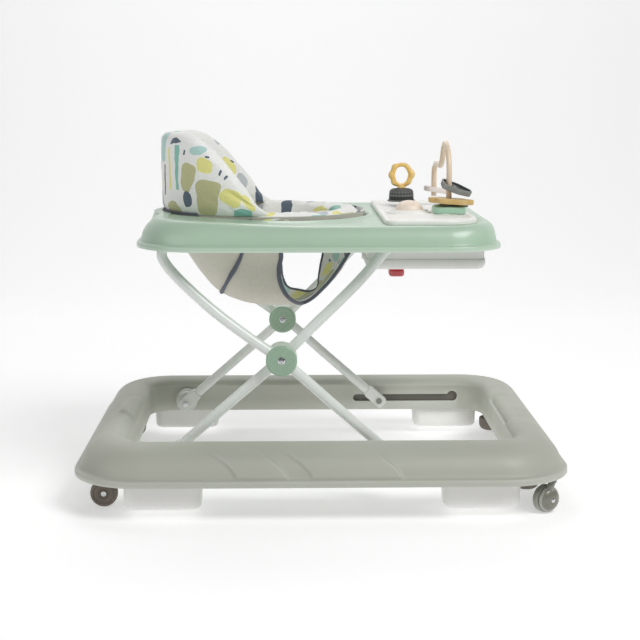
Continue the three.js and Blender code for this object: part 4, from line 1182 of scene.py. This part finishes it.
def twist_knob():
    """A two-step knob with upright ridges."""
    low, high = box_of("twist_knob")
    centre = middle_of("twist_knob")
    radius = (high[0] - low[0]) / 2

    def ridges(row, angle):
        depth = 0.12 if 7 <= row <= 16 else 0.0
        return depth * np.clip(np.cos(angle * 24) * 1.6, -1, 1) - depth

    profile = [(0, 0), (radius - 0.8, 0), (radius, 0.6), (radius, 1.9), (radius - 0.6, 2.5),
               (radius - 1.9, 2.8), (radius - 2.2, 3.4), (radius - 2.2, 7), (radius - 2.8, 7.5),
               (radius - 2.8, 8.1), (radius - 2.2, 8.5), (radius - 2.4, 11.6), (radius - 3.1, 12.1),
               (radius - 3.1, 12.7), (radius - 2.6, 13.1), (radius - 2.9, 15.6), (radius - 3.8, 17.6),
               (radius - 5.4, 19.2), (radius - 8, 20.3), (7.4, 20.8), (6.6, 21), (0, 21)]
    shape = revolve(profile, (centre[0], centre[1], low[2]), "z", 208, ridges)
    mesh_piece("knob_ridged", shape, CHARCOAL, "knob", ["twist_knob"], 30)


def teether_ring():
    """A ring with rounded bumps, standing on the knob on a short post."""
    _, high = box_of("teether_ring")
    _, knob_high = box_of("twist_knob")
    knob = middle_of("twist_knob")
    centre = np.array((knob[0], knob[1], high[2] - 19.7))
    angle = np.linspace(0, 2 * math.pi, 160, endpoint=False)
    bump = np.zeros_like(angle)
    for at, width, size in ((4, 13, 1.0), (133, 12, 0.8), (180, 12, 0.8), (222, 12, 0.7),
                            (60, 9, 0.25), (-40, 10, 0.35)):
        away = (angle - math.radians(at) + math.pi) % (2 * math.pi) - math.pi
        bump += size * np.exp(-(away / math.radians(width)) ** 2)
    radius = 15.6 + 1.9 * bump
    tall = np.sin(angle) * (radius + 0.9)
    path = np.column_stack([np.cos(angle) * (radius - 1.4), np.zeros_like(angle), tall])
    thick = 3.2 + 1.2 * np.cos(angle) ** 2 + 1.2 * bump
    ring = sweep(centre + path, thick, 20, closed=True)
    stem = revolve([(0, knob_high[2] + 0.2), (7, knob_high[2] + 0.2), (7, knob_high[2] + 1.2),
                    (5.6, knob_high[2] + 2), (5, centre[2] - 16), (0, centre[2] - 14.5)],
                   (knob[0], knob[1], 0), "z", 36)
    mesh_piece("ring_teether", joined(ring, stem), YELLOW_PLASTIC, "knob", ["teether_ring"])


def dome_button():
    """A press dome with a ring of small dimples and a lip at its foot."""
    low, high = box_of("dome_button")
    centre = middle_of("dome_button")
    radius, rise = (high[0] - low[0]) / 2, high[2] - low[2]

    def height(x, y):
        r = math.hypot(x, y) / radius
        turn = math.atan2(y, x)
        cap = rise * math.sqrt(max(1 - (r * 0.985) ** 2.1, 0)) - 0.6
        petal = smoothstep(0.3, 0.55, r) * (1 - smoothstep(0.7, 0.9, r))
        scallop = 0.45 * math.cos(turn * 8) * petal
        return max(cap - scallop, 0.8)

    axes = ((1, 0, 0), (0, 1, 0), (0, 0, 1))
    seat = (centre[0], centre[1], low[2] + 0.3)
    shape = relief_disc(radius - 0.2, seat, axes, height, 40, 112, 0.2)
    mesh_piece("dome_peach", shape, PEACH_PLASTIC, "dome", ["dome_button"], 50)


def ring_plate(outline, hole_r, rows, at, tilt=0.0, roll=0.0):
    """A plate threaded on the arch. rows go round its section from the hole: share out, inset, height.

    The outline gives points round (0, 0); a share of 0 is the hole and 1 the outline. The plate
    leans forwards by tilt and then down towards the near side by roll.
    """
    outline = np.asarray(outline, float)
    angle = np.arctan2(outline[:, 1], outline[:, 0])
    hole = np.column_stack([np.cos(angle), np.sin(angle)]) * hole_r
    lean, side = math.radians(tilt), math.radians(roll)
    sections = []
    for share, inset, height in rows:
        plan = hole + (inset_outline(outline, inset) - hole) * share
        x = plan[:, 0] * math.cos(lean) + height * math.sin(lean)
        up = -plan[:, 0] * math.sin(lean) + height * math.cos(lean)
        y = plan[:, 1] * math.cos(side) - up * math.sin(side)
        z = plan[:, 1] * math.sin(side) + up * math.cos(side)
        sections.append(np.column_stack([x, y, z]) + at)
    return skin(np.array(sections), ring=True)


def plate_rows(half, edge, top_edge=None):
    """The section of a plain plate with rounded edges."""
    top_edge = top_edge or edge
    return [(0, 0, -half + 0.6), (0, 0, half - 0.6), (0.06, 0, half), (0.5, 0, half),
            (1, top_edge, half), (1, top_edge * 0.3, half - top_edge * 0.3), (1, 0, half - top_edge),
            (1, 0, -half + edge), (1, edge * 0.3, -half + edge * 0.3), (1, edge, -half),
            (0.5, 0, -half), (0.06, 0, -half)]


def rounded_polygon(corners, count=96, soft=0.16):
    """A closed outline through a polygon, its corners rounded, anticlockwise."""
    corners = np.array(corners, float)
    points = []
    for i, corner in enumerate(corners):
        before, after = corners[i - 1], corners[(i + 1) % len(corners)]
        for t in (soft, 0.0):
            points.append(corner + (before - corner) * t if t else
                          corner + (before - corner) * soft * 0.22 + (after - corner) * soft * 0.22)
        points.append(corner + (after - corner) * soft)
    path = np.column_stack([np.array(points + points[:1]), np.zeros(len(points) + 1)])
    t = np.r_[0, np.cumsum(np.linalg.norm(np.diff(path, axis=0), axis=1))]
    u = np.linspace(0, t[-1], count + 1)[:-1]
    return np.column_stack([np.interp(u, t, path[:, 0]), np.interp(u, t, path[:, 1])])


def flower(count, radius, wave, stretch, shift):
    angle = np.linspace(0, 2 * math.pi, 144, endpoint=False)
    r = radius * (1 + wave * np.cos(count * angle))
    return np.column_stack([shift + stretch * r * np.cos(angle), r * np.sin(angle)])


def beads():
    """The flat beads on the near leg, and the one on the far leg."""
    near = JOINT_AT["mint_bead_turn"]
    leg = np.array((near[0], near[1], 0))

    def at(node, lift=0.0):
        return leg + (0, 0, middle_of(node)[2] + lift)

    block = rounded_polygon([(25.5, -12), (25.5, 12), (14, 17), (-16, 17), (-25, 9), (-25, -9),
                             (-16, -17), (14, -17)], soft=0.3)
    mint = ring_plate(block, 5.6, plate_rows(5.0, 1.6, 2.6), at("bead_mint", -1.0), 0, 5)
    mesh_piece("bead_mint_block", mint, MINT_PLASTIC, "mint_bead", ["bead_mint"])
    spacer = ring_plate(rounded_polygon([(29, -5), (29, 5), (18, 13), (-10, 13), (-14, 0), (-10, -13),
                                         (18, -13)], soft=0.25), 5.6, plate_rows(0.7, 0.4),
                        at("bead_mint", 5.1), 4, 3)
    mesh_piece("bead_mint_spacer", spacer, CHARCOAL, "mint_bead")
    petals = ring_plate(flower(6, 21, 0.09, 1.5, 3.5), 5.6, plate_rows(4.1, 1.8),
                        at("bead_mustard", 0.6), 4)
    mesh_piece("bead_mustard_flower", petals, MUSTARD_PLASTIC, "mustard_bead", ["bead_mustard"])
    charcoal_bead(leg + (0, 0, 452.5))
    far = middle_of("bead_blush")
    slab = rounded_polygon([(29, -8), (29, 8), (13, 14.5), (-10, 14), (-16, 6), (-16, -6), (-10, -14),
                            (13, -14.5)], soft=0.25)
    blush = ring_plate(slab, 6.4, plate_rows(3.9, 1.4), (far[0] + 0.5, far[1], 436.5), 9)
    mesh_piece("bead_blush_slab", blush, BLUSH_PLASTIC, "blush_bead", ["bead_blush"])


def charcoal_bead(at):
    """A long dark tray of a bead, its floor a little below its edge."""
    outline = rounded_polygon([(36, -6), (36, 6), (15, 16.5), (-10, 14), (-12, 8), (-12, -8),
                               (-10, -14), (15, -16.5)], soft=0.2)
    rows = [(0, 0, -3.6), (0, 0, 2.6), (0.2, 0, 2.4), (0.5, 2, 1.9), (1, 5, 1.4), (1, 3.4, 1.4),
            (1, 2.9, 3.6), (1, 2.4, 4.2), (1, 0.9, 4.2), (1, 0.2, 3.5), (1, 0.6, -3.4), (1, 1.6, -4.3),
            (0.5, 2, -4.3), (0.06, 0, -4.3)]
    frame_of_bead = ring_plate(outline, 7.2, rows, at, 21, 14)
    mesh_piece("bead_charcoal_frame", frame_of_bead, CHARCOAL, "charcoal_bead", ["bead_charcoal"])


# ---------------------------------------------------------------- seat
# The sling below the tray: drop from the hem, then how far its rear, front and sides come in.
SLING_ROWS = (
    (0, 0, 0, 0), (17.5, 5.5, 5.5, 5.5), (41.5, 14.5, 13.5, 11.5), (71.5, 32.5, 24.5, 21.5),
    (99.5, 52.5, 41.5, 27.5), (121.5, 73.5, 61.5, 39.5), (134.5, 98.5, 75.5, 60.5),
    (141.5, 126.5, 87.5, 84.5), (145, 151.5, 101.5, 112.5),
)
CLOTH_THICK = 2.0


class Sling:
    """The outside surface of the seat's fabric bucket."""

    def __init__(self, steps=44):
        low, high = box_of("seat_bucket")
        rows = [(high[2] - d, low[0] + r, high[0] - f, high[1] - s) for d, r, f, s in SLING_ROWS]
        self.rows = smooth_path(rows, steps)

    def row_at(self, z):
        falling = self.rows[::-1]
        return [np.interp(z, falling[:, 0], falling[:, k]) for k in (1, 2, 3)]

    @staticmethod
    def power(z):
        return 0.88 + 0.12 * float(smoothstep(390, 405, z))

    def ring(self, row, inset=0.0, lift=0.0, shrink=1.0, count=112):
        z, rear, front, half = row
        angle = np.linspace(0, 2 * math.pi, count, endpoint=False)
        c, s = np.cos(angle), np.sin(angle)
        p = self.power(z)
        x = np.sign(c) * abs(c) ** p * ((front - rear) / 2 - inset) * shrink
        y = np.sign(s) * abs(s) ** p * (half - inset) * shrink
        points = np.column_stack([(rear + front) / 2 + x, y, np.full(count, z + lift)])
        return np.array([self.slack(p) for p in points])

    def side_y(self, x, z):
        """How far out the side of the bucket is at a place seen from the side."""
        rear, front, half = self.row_at(z)
        share = min(abs((x - (rear + front) / 2) / ((front - rear) / 2)), 0.999)
        p = self.power(z)
        return half * (1 - share ** (2 / p)) ** (p / 2)

    def slack(self, point):
        """Soft hollows and folds of cloth that hangs from its hem."""
        x, y, z = point
        amount = float(smoothstep(408, 380, z))
        soft = noise.noise(Vector((x * 0.013, y * 0.013, z * 0.010)))
        folds = noise.noise(Vector((x * 0.045 + 7, y * 0.045, z * 0.012)))
        away = np.array((x + 75, y, 0.0))
        away /= max(np.linalg.norm(away), 1)
        return np.array(point) + away * (3.2 * soft + 1.3 * folds) * amount

    def along(self, line, side, proud=0.6):
        """A path on the bucket's side from places seen from the side."""
        points = []
        for x, z in line:
            points.append(self.slack((x, side * (self.side_y(x, z) + proud), z)))
        return points


# Seen from the side: the slanting seam, and the outline of a leg hole.
SLING_SEAM = ((-101, 408), (-108, 384), (-117, 352), (-124, 337), (-132, 323), (-141, 306),
              (-150, 288.5), (-151, 284))
FAR_HOLE = ((-58, 386), (-58.5, 368), (-58, 350), (-60, 330), (-60, 310), (-57, 290), (-50, 279),
            (-30, 275), (-12, 276), (-2, 283), (3, 300), (7, 318), (10, 332), (11, 350), (14, 370),
            (18, 386), (12, 397), (-10, 401), (-45, 397))
NEAR_HOLE = ((-58, 386), (-58.5, 368), (-58, 350), (-61, 336), (-61, 322), (-57, 305), (-49, 290),
            (-38, 278), (-25.5, 270.5), (-12, 277), (1, 289), (12, 302), (23, 317), (34, 332),
            (48, 350), (57, 368), (58, 386), (46, 397), (-2, 401), (-45, 397))


def sling():
    """The bucket: plain outside, printed inside, with leg holes bound in slate."""
    bucket = Sling()
    low_row = bucket.rows[-1]
    outside = [bucket.ring(low_row, 0, -1.2, 0.12), bucket.ring(low_row, 0, -1.1, 0.45),
               bucket.ring(low_row, 0, -0.8, 0.8)]
    outside += [bucket.ring(row) for row in bucket.rows[::-1]]
    inside = [bucket.ring(row, CLOTH_THICK, 1.0) for row in bucket.rows]
    inside += [bucket.ring(low_row, CLOTH_THICK, 0.8 + CLOTH_THICK * 0.5, 0.8),
               bucket.ring(low_row, 0, CLOTH_THICK - 0.2, 0.45),
               bucket.ring(low_row, 0, CLOTH_THICK - 0.3, 0.12)]
    sections = np.array(outside + inside)
    rows, cols = sections.shape[:2]
    points = sections.reshape(-1, 3)
    centre_x = (low_row[1] + low_row[2]) / 2
    turn = np.arctan2(points[:, 1], points[:, 0] - centre_x)
    uv = np.column_stack([abs(turn) * 128, points[:, 2] - 260 + points[:, 0] * 0.2])
    inner_rows = np.repeat(np.arange(rows - 1) >= len(outside) - 1, cols)
    faces_of = np.concatenate([inner_rows, [0, 1]]).astype(int)
    piece = mesh_piece("sling", skin(sections), [SLING_CLOTH, SLING_PRINT], "tray",
                       ["seat_bucket"], angle=0, uv=uv, faces_of=faces_of)
    piping = []
    for _, side in SIDES:
        corners = FAR_HOLE if side > 0 else NEAR_HOLE
        hole = smooth_path([(x, 0, z) for x, z in (*corners, corners[0])], 120)[:-1]
        cutter = [np.column_stack([hole[:, 0], np.full(len(hole), side * y), hole[:, 2]])
                  for y in (30, 190)]
        cut_out(piece, skin(cutter))
        edge = bucket.along([(x, z) for x, _, z in hole], side)
        piping.append(sweep(np.array(edge), 3.3, 14, closed=True, flat=0.8))
        seam = smooth_path(bucket.along(SLING_SEAM, side, 1.0), 60)
        swell = 3.0 + 0.45 * np.sin(np.linspace(0, 19, 60))
        piping.append(sweep(seam, swell, 14))
    piece.data.shade_smooth()
    piece.data.set_sharp_from_angle(angle=math.radians(60))
    binding_piece = mesh_piece("sling_piping", joined(*piping), SLATE_PIPING, "tray",
                               angle=0)


BACK_TOP = ((0, 530), (25, 530), (40, 530), (50, 524), (60, 509), (68, 493), (76, 474), (83, 455),
            (90, 430), (96, 416))


def pad_section(bottom, top, thick, count):
    """A section of the backrest as (in from the outside, height), evenly spaced from its foot."""
    rise = top - bottom
    soft = min(thick / 2 - 0.5, rise * 0.45)
    corner = [(math.cos(a), math.sin(a)) for a in np.linspace(0, math.pi, 13)]
    line = [(3, bottom), (0.6, bottom + 3), (0.4, bottom + rise * 0.3), (0, bottom + rise * 0.55)]
    line += [(thick / 2 - c * (thick / 2 - 0.3), top - soft + s * soft) for c, s in corner]
    line += [(thick - 0.5, bottom + rise * 0.5), (thick, bottom + 4), (thick - 4, bottom)]
    path = np.array([(*p, 0.0) for p in line])
    t = np.r_[0, np.cumsum(np.linalg.norm(np.diff(path, axis=0), axis=1))]
    u = np.linspace(0, t[-1], count)
    return np.column_stack([np.interp(u, t, path[:, k]) for k in (0, 1)])


def puff(obj, pressure, cap, pinned, slack=0.03, frames=18):
    """Blows a pad up as cloth, keeping its pinned points, and no point moves further than cap."""
    mesh = obj.data
    rest = np.zeros(len(mesh.vertices) * 3)
    mesh.vertices.foreach_get("co", rest)
    group = obj.vertex_groups.new(name="pinned")
    group.add([int(i) for i in np.nonzero(pinned)[0]], 1.0, "REPLACE")
    modifier = obj.modifiers.new("cloth", "CLOTH")
    settings = modifier.settings
    settings.quality = 6
    settings.mass = 0.25
    settings.tension_stiffness = settings.compression_stiffness = 12
    settings.shear_stiffness = 5
    settings.bending_stiffness = 0.35
    settings.shrink_min = -slack
    settings.use_pressure = True
    settings.uniform_pressure_force = pressure
    settings.vertex_group_mass = "pinned"
    settings.effector_weights.gravity = 0
    modifier.collision_settings.use_collision = False
    modifier.point_cache.frame_end = frames
    scene = bpy.context.scene
    for number in range(1, frames + 1):
        scene.frame_set(number)
    evaluated = obj.evaluated_get(bpy.context.evaluated_depsgraph_get())
    blown = np.zeros(len(mesh.vertices) * 3)
    evaluated.data.vertices.foreach_get("co", blown)
    scene.frame_set(1)
    obj.modifiers.remove(modifier)
    obj.vertex_groups.remove(group)
    move = (blown - rest).reshape(-1, 3)
    length = np.linalg.norm(move, axis=1)[:, None]
    limit = cap * MM
    move *= limit * np.tanh(length / limit) / np.maximum(length, 1e-9)
    mesh.vertices.foreach_set("co", rest + move.ravel())
    mesh.update()


def soften(obj, levels=1):
    """Subdivides a finished soft piece, so that its outline is smooth close up."""
    modifier = obj.modifiers.new("soft", "SUBSURF")
    modifier.levels = modifier.render_levels = levels
    apply_modifiers(obj)
    obj.data.shade_smooth()


def backrest():
    """The padded backrest with its wings, and its piping."""
    low, high = box_of("backrest_pad")
    centre_x, radius, thick, bottom = high[0], high[1], 26.0, low[2]
    angles = np.linspace(-96, 96, 100)
    count = 54
    sections, uv, uv_inner, top_at = [], [], [], []
    limits, heights = zip(*BACK_TOP)
    for angle in angles:
        away = abs(angle)
        end = math.sqrt(max(1 - max((away - 88) / 8.2, 0) ** 2, 0.03))
        top = float(np.interp(away, limits, heights))
        top_at.append(top)
        section = pad_section(bottom, top, thick, count)
        middle = thick / 2
        turn = math.radians(angle)
        row = []
        for inward, z in section:
            r = radius - middle - (inward - middle) * end
            row.append((centre_x - r * math.cos(turn), r * math.sin(turn), z))
            uv.append((radius * abs(turn), z - 400))
            uv_inner.append((240 + radius * abs(turn), z - 400))
        sections.append(row)
    faces_inner = np.tile(np.arange(count) >= count * 0.49, len(angles) - 1)
    faces_inner = np.concatenate([faces_inner, [False, False]])
    points, faces = skin(np.array(sections))
    pad = mesh_piece("backrest_cushion", (points, faces), PRINT_CLOTH, "tray", ["backrest_pad"],
                     angle=0, uv=uv, uv_inside=(uv_inner, faces_inner))
    puff(pad, 3.2, 4.5, points[:, 2] < bottom + 5)
    soften(pad)
    edge_pipe = []
    for angle, top in zip(angles, top_at):
        turn = math.radians(angle)
        if abs(angle) < 70:
            r = radius - 2.6
            edge_pipe.append((centre_x - r * math.cos(turn), r * math.sin(turn), top - 5.5))
    pipe = sweep(smooth_path(edge_pipe, 170), 1.9, 12)
    mesh_piece("backrest_piping", pipe, PALE_PIPING, "tray", angle=0)
    foot = [(centre_x - (radius + 0.2) * math.cos(t), (radius + 0.2) * math.sin(t), bottom + 1.2)
            for t in np.radians(np.linspace(-52, 52, 60))]
    mesh_piece("backrest_foot_piping", sweep(foot, 2.0, 12), SLATE_PIPING, "tray",
               angle=0)


COLLAR_PRINT = (352.0, 60.0)  # where on the print the middle of the collar's top lies


def collar():
    """The soft half ring in front of the child, with loose folds over its filling."""
    low, high = box_of("seat_collar")
    seat_low, seat_high = box_of("seat_bucket")
    centre_x = (seat_low[0] + seat_high[0]) / 2
    half_x, half_y, thick = high[0] - centre_x, high[1] + 10, 36.0
    bottom, top = low[2] + 3, high[2] + 1
    drape = 15  # how far the inner side hangs into the seat
    angles = np.linspace(82, 278, 92)
    around = np.linspace(0, 2 * math.pi, 26, endpoint=False)
    sections, uv = [], []
    for angle in angles:
        turn = math.radians(angle)
        end = math.sqrt(max(1 - (max(abs(angle - 180) - 90, 0) / 8.4) ** 2, 0.04))
        row = []
        for a in around:
            across = math.copysign(abs(math.cos(a)) ** 0.8, math.cos(a)) * thick / 2 * end
            up = math.copysign(abs(math.sin(a)) ** 0.75, math.sin(a)) * (top - bottom) / 2 * end
            out = across - thick / 2
            inner = smoothstep(0.1, 0.9, -math.cos(a)) * smoothstep(0.25, -0.3, math.sin(a))
            up -= drape * inner * end
            x = centre_x - (half_x + out) * math.cos(turn)
            y = (half_y + out) * math.sin(turn)
            row.append((x, y, (top + bottom) / 2 + up))
            uv.append((COLLAR_PRINT[0] + 90 * abs(turn - math.pi), COLLAR_PRINT[1] + out + up))
        sections.append(row)
    points = np.array(sections).reshape(-1, 3)
    for point in points:
        x, y, z = point
        fold = noise.noise(Vector((x * 0.05, y * 0.05, z * 0.02)))
        crease = 1 - abs(noise.noise(Vector((x * 0.028 + 3, y * 0.028, 0.7)))) * 4
        fine = 1 - abs(noise.noise(Vector((x * 0.06 + 9, y * 0.045, 2.3)))) * 5
        lift = smoothstep(bottom + 2, top, z)
        point[2] += lift * (2.8 * fold - 2.2 * max(crease, 0) ** 3 - 1.1 * max(fine, 0) ** 2)
    shape = (points, skin(np.array(sections))[1])
    pad = mesh_piece("collar_cushion", shape, PRINT_CLOTH, "tray", ["seat_collar"],
                     angle=0, uv=uv)
    puff(pad, 2.2, 3.0, points[:, 2] < bottom + 2, slack=0.07)
    soften(pad)
    line = []
    for t in np.radians(np.linspace(142, 218, 60)):
        line.append((centre_x - (half_x + 2.4) * math.cos(t), (half_y + 3) * math.sin(t), bottom + 4.6))
    mesh_piece("collar_piping", sweep(line, 2.0, 12), SLATE_PIPING, "tray",
               angle=0)


# ---------------------------------------------------------------- studio
def studio():
    """A seamless pale floor and wall, its paper glowing faintly."""
    angle = np.linspace(0, math.pi / 2, 14)
    line = [(-6000, 0), (1500, 0)]
    line += [(1500 + 1200 * math.sin(a), 1200 - 1200 * math.cos(a)) for a in angle[1:]]
    line += [(2700, 5200)]
    points = [(x, y, z) for y, z in line for x in (-6500, 6500)]
    faces = lattice(len(line), 2, ring_cols=False)
    mesh = bpy.data.meshes.new("studio_floor")
    mesh.from_pydata((np.array(points) * MM).tolist(), [], faces)
    mesh.shade_smooth()
    s = Shader("studio_paper")
    s.set(Base_Color=(0.78, 0.78, 0.78, 1), Roughness=0.9, Specular_IOR_Level=0.1,
          Emission_Color=(1, 1, 1, 1), Emission_Strength=0.4)
    mesh.materials.append(s.material)
    floor = bpy.data.objects.new("studio_floor", mesh)
    bpy.context.scene.collection.objects.link(floor)


def soft_light(name, at, target, size, power):
    data = bpy.data.lights.new(name, "AREA")
    data.shape, data.size, data.energy = "DISK", size, power
    light = bpy.data.objects.new(name, data)
    light.location = at
    light.rotation_euler = (Vector(target) - Vector(at)).to_track_quat("-Z", "Y").to_euler()
    bpy.context.scene.collection.objects.link(light)


def photo_camera():
    camera = bpy.data.objects.new("camera", bpy.data.cameras.new("camera"))
    bpy.context.scene.collection.objects.link(camera)
    camera.location = (-0.0469, -2.25, 0.5955)
    camera.rotation_euler = (math.radians(90 - 9.044), 0, math.radians(-1.247))
    camera.data.lens = 36 * 1452.96 / 640
    camera.data.clip_start = 0.1
    bpy.context.scene.camera = camera


def pale_world(strength):
    world = bpy.data.worlds.new("studio_air")
    world.use_nodes = True
    background = world.node_tree.nodes["Background"]
    background.inputs[0].default_value = (1, 1, 1, 1)
    background.inputs[1].default_value = strength
    bpy.context.scene.world = world


photo_camera()
base_ring()
slot_shade_liners()
stop_blocks()
front_pads()
rear_wheels()
casters()
inner_leg()
outer_legs()
leg_feet()
hubs()
rear_bosses()
tray_shell()
tray_fittings()
height_housing()
release_latch()
toy_panel()
bead_track()
twist_knob()
teether_ring()
dome_button()
beads()
sling()
backrest()
collar()
studio()
pale_world(0.12)
soft_light("key", (1.3, -1.5, 2.3), (0, 0, 0.25), 1.5, 46)
soft_light("fill", (-2.2, -1.4, 1.4), (0, 0, 0.25), 1.6, 12)
soft_light("back", (-0.3, 1.9, 2.4), (0, 0, 0.3), 1.6, 15)
bpy.context.scene.view_settings.view_transform = "Standard"
